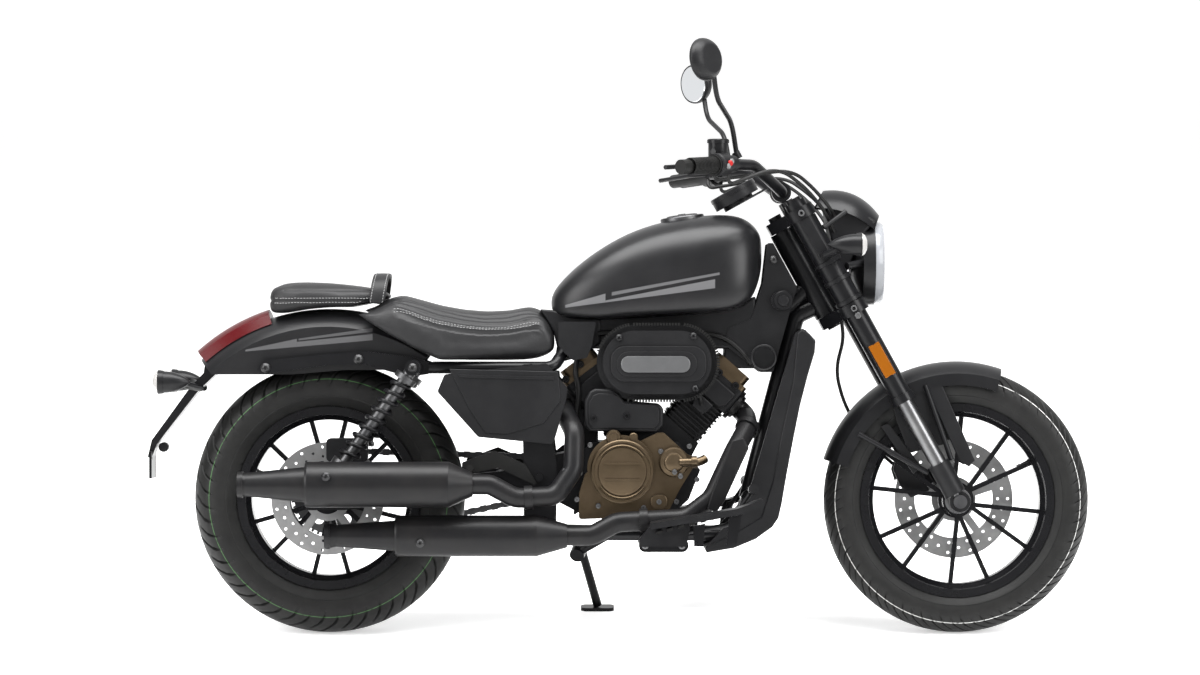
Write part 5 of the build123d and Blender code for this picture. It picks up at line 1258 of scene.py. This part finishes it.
for lean, way in ((41, 1), (-37, -1)):
    mouth = bank(lean, way * 57, 214, -20)
    outward = bank(lean, way * 70, 214, -20) - mouth
    flange = [(-4, 34), (-4, 37), (5, 37), (5, 30), (12, 28), (12, 22)]
    ports.append(lathe("port", flange, mouth, outward, 28))
fit(weld("header_trim", [guard, cuff, cuff_low, cuff_up, *ports]), "chassis", "black_steel", "exhaust_black")
print("engine details made")
# %% [markdown]
# ## The front end
# What stands on the fork turns with it. The lamp gets its dark rim, its bright bowl and its glass, the
# signals their glass, the fork its amber reflectors, cover panels, bands and pinch bolts, and the fender
# its dark plates.

# %% Lamp rim and bowl, signals and reflectors
LAMP_FACE = mm(1225, 0, 826)
hood = side_plate("lamp_hood", ((1102, 962), (1168, 948), (1218, 918), (1196, 896), (1170, 846), (1150, 800),
                                (1128, 836), (1112, 900)), -68, 68)
round_edges(hood, 5, 3)
fit(hood, "steering", "black_plastic", "plastic_black")
bowl = lathe("lamp_bowl", [(-0.9, 84), (0.1, 84), (0.1, 30), (-0.9, 26)], LAMP_FACE, (1, 0, 0), 64)
fit(bowl, "steering", "chrome", "lamp_silver")
rim = lathe("lamp_rim", [(-36, 92), (-36, 94), (-9, 94), (-9, 89)], LAMP_FACE, (1, 0, 0), 72)
fit(rim, "steering", "black_steel", "satin_black")
beam = lathe("lamp_glass", [(-8, 86), (-9, 92.5), (4, 91.5), (10, 87), (13, 62), (13.6, 0)], LAMP_FACE,
             (1, 0, 0), 72)
fit(beam, "steering", "clear_lens", "lamp_lens", "headlamp_lens")
signal_lens = lathe("signal_lens", [(0, 25), (4, 25), (10, 20.5), (14, 12), (15, 0)], axis=(0, 0, 1),
                    steps=36)
signal_rim = lathe("signal_rim", [(-9, 25.4), (0, 26.6), (3, 26.6), (3, 25.2)], axis=(0, 0, 1), steps=36)
SIGNALS = {"steering": [fork(46, side * 182, 622) + mm(36, 0, 0) for side in (-1, 1)],
           "chassis": [mm(-330 - 36, side * 150, 561) for side in (-1, 1)]}
for body, spots in SIGNALS.items():
    way = (1, 0, 0) if body == "steering" else (-1, 0, 0)
    for place, name, source, slot, finish in ((0, "glass", signal_lens, "clear_lens", "signal_glass"),
                                              (1, "rims", signal_rim, "black_plastic", "satin_black")):
        copies = [copy_to(source, spot, way) for spot in spots]
        fit(weld(f"{body}_signal_{name}", copies), body, slot, finish)
throw_away(signal_lens, signal_rim)


def on_fork(name, outline, side, left, thick):
    """A slab outlined in (ahead, along) of the fork, at a distance out from the middle on one side."""
    return slab(name, [fork(f, side * left, s) for f, s in outline], mm(0, side * thick, 0))


amber, panels, ribs = [], [], []
for side in (-1, 1):
    amber.append(round_edges(on_fork("amber", [(-13, 318), (13, 318), (13, 398), (-13, 398)], side, 119, 5),
                             1.6))
    panels.append(round_edges(on_fork("amber_base", [(-16, 312), (16, 312), (16, 404), (-16, 404)], side, 114,
                                      6.5), 1.5))
    panels.append(round_edges(on_fork("cover_panel", [(-13, 618), (13, 618), (13, 716), (-13, 716)], side,
                                      125, 5), 2.5))
    for s in (508, 560, 604):
        ribs.append(lathe("cover_band", [(-5, 30), (-4, 31.8), (4, 31.8), (5, 30)], fork(0, side * 100, s),
                          STEERED_UP, 40))
fit(weld("fork_reflectors", amber), "steering", "red_lens", "amber_lens")
fit(weld("fork_panels", panels), "steering", "black_plastic", "plastic_black")
fit(weld("fork_bands", ribs), "steering", "black_steel", "satin_black")
pinch = [fork(f, side * 131, s) for side in (-1, 1) for f, s in ((0, 488), (0, 470), (0, 728))]
heads = [copy_to(socket_head, spot, (0, math.copysign(1, spot[1]), 0), 0, 1.3) for spot in pinch]
fit(weld("pinch_bolts", heads), "steering", "steel", "steel")

plates = []
for side in (-1, 1):
    for outline, near in ((((1326, 556), (1340, 567), (1362, 557), (1437, 386), (1424, 372), (1403, 384)),
                           66), (((1254, 516), (1296, 552), (1328, 556), (1372, 440), (1366, 421),
                                  (1292, 402), (1264, 470)), 62),
                          (((1228, 462), (1246, 468), (1318, 372), (1300, 356)), 66)):
        plate = side_plate("fender_plate", outline, *sorted((side * near, side * (near + 4))))
        plates.append(round_edges(plate, 1.5))
fit(weld("fender_plates", plates), "steering", "black_plastic", "plastic_black")

# %% [markdown]
# The caliper bites the left disc from behind the fork. Its two halves stand on either side of the disc, a
# bridge outside the rim of the disc joins them, and an arm ties them to the fork foot. Each hub gets a ring
# on either side, and each rim a valve stem.

# %% Caliper, wheel hub and valve stems
halves = []
for low, high in ((62, 82), (30, 50)):
    halves.append(slab("caliper_half", [fork(f, low, s)
                                        for f, s in ((-84, 50), (-40, 44), (-34, 78), (-36, 122), (-44, 138),
                                                     (-72, 140), (-88, 126), (-92, 88))],
                       mm(0, high - low, 0)))
bridge = slab("caliper_bridge", [fork(f, 48, s) for f, s in ((-97, 98), (-86, 106), (-76, 116), (-66, 125),
                                                             (-56, 139), (-72, 143), (-91, 127))],
              mm(0, 16, 0))
arm = slab("caliper_arm", [fork(f, 82, s) for f, s in ((-70, 56), (-18, 52), (-18, 84), (-68, 92))],
           mm(0, 12, 0))
for piece in (*halves, bridge, arm):
    round_edges(piece, 3, 3)
caliper = weld("caliper_body", [*halves, bridge, arm])
fit(caliper, "steering", "black_alloy", "cast_black", "front_caliper")
spots = [fork(f, 82, s) for f, s in ((-64, 66), (-62, 112))]
fit(weld("caliper_bolts", [copy_to(socket_head, spot, (0, 1, 0), 0, 1.6) for spot in spots]), "steering",
    "steel", "steel")

for body, axle, reach, out, wheel in (("front_wheel", FRONT_AXLE, 29, 61, "front"),
                                      ("rear_wheel", REAR_AXLE, 32, 98, "rear")):
    rings = []
    for side in (-1, 1):
        rings.append(lathe("hub_ring", [(0, reach), (0, reach - 8), (side * 1.8, reach - 8),
                                        (side * 1.8, reach)], axle + mm(0, side * out, 0), (0, 1, 0), 48))
    fit(weld(f"{wheel}_hub_rings", rings), body, "steel", "steel")
    turn = Matrix.Rotation(math.radians(-28 if wheel == "front" else 200), 4, "Y")
    stem = lathe("stem", [(0, 0), (0, 4), (4, 4), (5, 3), (22, 3), (23, 4.2), (31, 4.2), (32, 0)],
                 axis=(0, 0, -1), steps=14)
    stem.data.transform(Matrix.Translation(axle) @ turn @ Matrix.Rotation(math.pi / 2, 4, "Y")
                        @ Matrix.Translation(mm(0, 6, 187 if wheel == "front" else 176)))
    fit(stem, body, "black_steel", "dark_steel")
print("front end made")
# %% [markdown]
# ## Bars, mirrors and gauge
# The grips are ribbed rubber, the switch boxes carry small coloured keys, and the right side has the brake's
# reservoir. Every place is worked out along the bar, from its inner bend outwards.

# %% Places along the bar
BAR_TOP = 790.0
INNER, OUTER = (-103, 300, BAR_TOP + 110), (-179, 406, BAR_TOP + 142)


def along_bar(side, distance, up=0.0, ahead=0.0):
    """A point on the grip run, at a distance in millimetres from its inner bend, raised or moved ahead."""
    inner, outer = fork(INNER[0], side * INNER[1], INNER[2]), fork(OUTER[0], side * OUTER[1], OUTER[2])
    run = (outer - inner).normalized()
    across = run.cross(Vector((0, 0, 1))).normalized() * side
    over = across.cross(run).normalized() * side
    return inner + run * mm(distance) - across * mm(ahead) + over * mm(up)


ribs, keys, boxes, reds = [], [], [], []
for side in (-1, 1):
    inner, outer = along_bar(side, 0), along_bar(side, 100)
    run = (outer - inner).normalized()
    profile = [(0, 16.5)]
    for step in range(17):
        start = 3 + step * 5
        profile += [(start, 18.4), (start + 2.6, 18.4), (start + 3, 17.2), (start + 4.6, 17.2)]
    ribs.append(lathe("grip_ribs", profile + [(86, 16.5)], along_bar(side, 42), run, 40))
    box = lathe("switch_box", [(-6, 12), (-6, 22), (-3, 25), (26, 25), (30, 22), (30, 12)],
                along_bar(side, 4), run, 32)
    clamp = lathe("lever_clamp", [(-5, 12), (-5, 17), (-3, 18.5), (13, 18.5), (15, 17), (15, 12)],
                  along_bar(side, -26), run, 28)
    boxes += [box, clamp]
    for distance, up in ((10, 6), (22, -4)):
        key = lathe("key", [(0, 6), (3, 6), (4.5, 4.6), (4.5, 0)], along_bar(side, distance, up, -24),
                    along_bar(side, distance, up, -40) - along_bar(side, distance, up, -24), 16)
        keys.append(key)
    reds.append(lathe("red_key", [(0, 6.5), (4, 6.5), (6, 5), (6, 0)], along_bar(side, 16, 2, -23.5),
                      along_bar(side, 16, 2, -40) - along_bar(side, 16, 2, -24), 18))
fit(weld("grip_ribs", ribs), "steering", "rubber", "rubber")
fit(weld("switch_boxes", boxes), "steering", "black_plastic", "plastic_black")
fit(weld("switch_keys", keys), "steering", "black_plastic", "bare_grey")
fit(reds[0], "steering", "red_lens", "red_key")
throw_away(reds[1])
tank_spot = along_bar(-1, -12, 30, 26)
pot = lathe("brake_pot", [(-20, 0), (-20, 20), (-17, 21.5), (16, 21.5), (16, 24), (23, 24), (25, 22),
                          (25, 0)], tank_spot, (0, 0, 1), 40)
window = lathe("pot_window", [(20.4, 0), (20.4, 7), (22.6, 6.4), (22.8, 0)], tank_spot - mm(0, 0, 3),
               (-0.5, -0.87, 0), 20)
fit(weld("brake_pot", [pot, window]), "steering", "black_plastic", "satin_black")
cylinders = [lathe("lever_cylinder", [(-2, 0), (-2, 12), (30, 12), (33, 10), (33, 0)],
                   along_bar(side, -14, 0, 10), along_bar(side, -14, 0, 40) - along_bar(side, -14, 0, 10), 28)
             for side in (-1, 1)]
fit(weld("lever_cylinders", cylinders), "steering", "black_alloy", "master_grey")

# %% Mirror glass and gauge face
discs = []
for side in (-1, 1):
    facing = Vector((math.cos(math.radians(32)), side * math.sin(math.radians(32)), 0.08)).normalized()
    disc = lathe("mirror_disc", [(-0.4, 0), (-0.4, 50), (0.5, 49), (0.7, 0)], axis=(0, 0, 1), steps=56)
    disc.data.transform(Matrix.Diagonal((1.0, 0.84, 1.0, 1.0)))
    discs.append(copy_to(disc, mm(830, side * 430, 1253) - facing * mm(9.4), -facing))
    throw_away(disc)
fit(weld("mirror_glass", discs), "steering", "chrome", "mirror_face")
dial = lathe("gauge_face", [(0, 0), (0, 44), (1.5, 44), (1.5, 0)], fork(-104, 0, BAR_TOP + 32 + 24.2),
             STEERED_UP, 56)
fit(dial, "steering", "clear_lens", "gauge_glass")
bezel = lathe("gauge_bezel", [(-6, 52), (-6, 54.5), (3, 54), (4.4, 51), (3, 45), (0, 45)],
              fork(-104, 0, BAR_TOP + 32 + 24), STEERED_UP, 64)
fit(bezel, "steering", "black_plastic", "satin_black")
print("controls made")
# %% [markdown]
# ## Silencers, struts, covers and pegs
# The silencers get their end rings and bolts, and the struts, footboards and headers their bolt heads.

# %% Exhaust details
rings = []
for x, y, z, bore, outer in ((-185, -232, 338, 24, 28), (3, -202, 225, 24, 28)):
    rings.append(lathe("tip_ring", [(0, bore), (-2, bore + 1), (-2, outer), (10, outer + 1.2),
                                    (10, outer - 1), (24, bore)], mm(x, y, z), (1, 0, 0), 48))
fit(weld("tip_rings", rings), "chassis", "steel", "exhaust_black")
screws("silencer_bolts", "chassis", "black_steel", "bolt_black", ((9, -283, 357), (212, -248, 211)),
       dome_head, size=1.35)
screws("strut_bolts", "chassis", "black_steel", "bolt_black",
       ((-134, -137, 592), (71, -137, 611), (192, -173, 592)), dome_head, size=1.5)
screws("strut_bolts_left", "chassis", "black_steel", "bolt_black",
       ((-134, 137, 592), (71, 137, 611), (192, 173, 592)), dome_head, (0, 1, 0), 1.5)
screws("board_bolts", "chassis", "steel", "bolt_steel", ((704, -108, 199), (785, -108, 199)), size=1.5)
screws("header_bolts", "chassis", "black_steel", "bolt_black", ((528, -200, 364), (920, -70, 470)), dome_head,
       size=1.3)

# %% [markdown]
# The side covers carry a pressed panel with a raised border. The rear plate arm holds a round red reflector
# and a small lamp, and a rubber arm joins each rear signal to it.

# %% Covers, plate arm and signal arms
panels = []
for side in (-1, 1):
    out = side * 158
    step = side * 2.2
    outline = ((272, 590), (512, 584), (518, 520), (480, 470), (400, 446), (352, 448), (318, 498))
    low, high = sorted((out - step, out + step))
    panel = side_plate("cover_panel", outline, low, high)
    panels.append(round_edges(panel, 1.8, 3))
    ridge = side_plate("cover_ridge", ((292, 578), (502, 573), (503, 566), (296, 571)),
                       *sorted((out, out + 2 * step)))
    panels.append(round_edges(ridge, 1.2))
fit(weld("cover_panels", panels), "chassis", "black_plastic", "plastic_black")
reflector = lathe("reflector", [(0, 0), (0, 21), (-3, 21), (-5, 18), (-5, 0)], mm(-397, 0, 372), (1, 0, 0),
                  40)
fit(reflector, "chassis", "red_lens", "red_lens")
lamp_hood = lathe("plate_lamp", [(-14, 0), (-14, 9), (-12, 11), (12, 11), (14, 9), (14, 0)], mm(-372, 0, 414),
                  (0, 1, 0), 24)
fit(lamp_hood, "chassis", "black_plastic", "plastic_black")
arms = [tube("signal_arm", [mm(-285, side * 36, 546), mm(-306, side * 80, 550), mm(-322, side * 126, 556)],
             7.4, 4, 12) for side in (-1, 1)]
fit(weld("signal_boots", arms), "chassis", "rubber", "rubber")
print("rear details made")

# %% [markdown]
# The footboards are topped with ribbed rubber. Each rib is a thin bar that lies across the board.

# %% Footboard rubber
ribs = []
for side in (-1, 1):
    for step in range(9):
        x = 726 + step * 24
        z = 300 - 62 * (957 - x) / 240
        low, high = sorted((side * 214, side * 304))
        rib = side_plate("board_rib", ((x, z - 8), (x + 12, z - 5), (x + 12, z + 1), (x, z - 2)), low, high)
        ribs.append(rib)
fit(weld("board_ribs", ribs), "chassis", "rubber", "rubber")
links = []
for side in (-1, 1):
    links.append(side_plate("board_link", rounded(690, 184, 800, 214, 14), *sorted((side * 98, side * 108))))
    links.append(side_plate("board_foot", ((884, 268), (912, 276), (900, 214), (878, 208)),
                            *sorted((side * 286, side * 292))))
    links.append(side_plate("board_foot", ((806, 250), (832, 256), (828, 206), (808, 206)),
                            *sorted((side * 286, side * 292))))
fit(weld("board_links", links), "chassis", "black_steel", "frame_black")
rods = [tube("board_rod", [mm(812, side * 296, 214), mm(896, side * 296, 238)], 3.2, 1, 12)
        for side in (-1, 1)]
fit(weld("board_rods", rods), "chassis", "steel", "steel")
print("board ribs made")

# %% [markdown]
# ## Under the tank and around the steering head
# Dark boxes and tubes close the space between tank, seat, engine and fork: the airbox, the neck under the
# seat's nose, a plate beside the steering head, the starter, the coil and the loom along the spine. A turned
# knob, a ring, screws and raised edges finish the panels of the steering head and the cowl.

# %% Airbox, loom and head panels
DARK_BOXES = (
    # name, outline, half width, radius of the edges, slot, finish
    ("airbox", ((560, 634), (560, 708), (629, 706), (780, 716), (915, 730), (950, 752), (956, 640),
                (915, 634)), 58, 6, "black_plastic", "plastic_black"),
    ("seat_neck", ((470, 722), (500, 720), (540, 706), (606, 702), (606, 646), (560, 616), (502, 600),
                   (508, 640), (500, 672), (484, 700)), 62, 5, "black_plastic", "plastic_black"),
    ("head_filler", ((983, 846), (1000, 846), (1054, 748), (1036, 718), (1008, 718), (984, 790)),
     18, 0, "black_plastic", "plastic_black"),
    ("starter", ((538, 520), (600, 520), (600, 300), (545, 262), (548, 400)),
     56, 6, "black_alloy", "cast_black"),
    ("coil", rounded(880, 590, 956, 652, 10), 50, 4, "black_plastic", "plastic_black"),
)
for name, outline, half, bevel, slot, finish in DARK_BOXES:
    box = side_plate(name, outline, -half, half)
    if bevel:
        round_edges(box, bevel, 3)
    fit(box, "chassis", slot, finish)
loom = [tube("loom", [mm(x, y, z) for x, y, z in route], 6, 5, 12) for route in (
    ((600, -62, 668), (700, -66, 676), (800, -64, 672), (900, -60, 660), (940, -56, 600)),
    ((560, -60, 640), (545, -80, 590), (560, -84, 540), (548, -86, 470), (560, -84, 420)))]
fit(weld("loom", loom), "chassis", "rubber", "hose_rubber")
knob = lathe("head_knob", [(4, 22), (-3, 22), (-5, 20), (-5, 13), (-10, 12), (-11, 9), (-11, 0)],
             mm(1011, -72, 741), (0, 1, 0), 32)
ring = lathe("head_ring", [(2, 30), (-2, 30), (-3.5, 28), (-2, 25), (0, 24)], mm(968, -72, 614), (0, 1, 0),
             32)
fit(weld("head_knob", [knob, ring]), "chassis", "black_plastic", "plastic_black")
screws("cowl_screws", "chassis", "black_steel", "bolt_black", ((990, -72, 832), (1033, -121, 539)), dome_head,
       size=1.3)
edges = []
for side in (-1, 1):
    outline = ((1040, 668), (1050, 677), (1066, 668), (1080, 652), (1078, 626), (1063, 576), (1046, 510),
               (1032, 440), (1017, 360), (1005, 290), (998, 260), (984, 240), (948, 214), (900, 194),
               (840, 184), (836, 196), (900, 226), (960, 262), (985, 340), (1006, 450), (1030, 560))
    low, high = sorted((side * 116, side * 127))
    edge = side_plate("cowl_edge", outline, low, high)
    edges.append(round_edges(edge, 3, 3))
fit(weld("cowl_edges", edges), "chassis", "black_plastic", "plastic_black")
print("head panels made")
# %% [markdown]
# ## The end
# The dressed machine has to stay as large as its CAD model. The screw masters are no part of the machine, so
# they go.

# %% The end
throw_away(socket_head, dome_head)
fresh()
print("pieces made:", len(MADE))
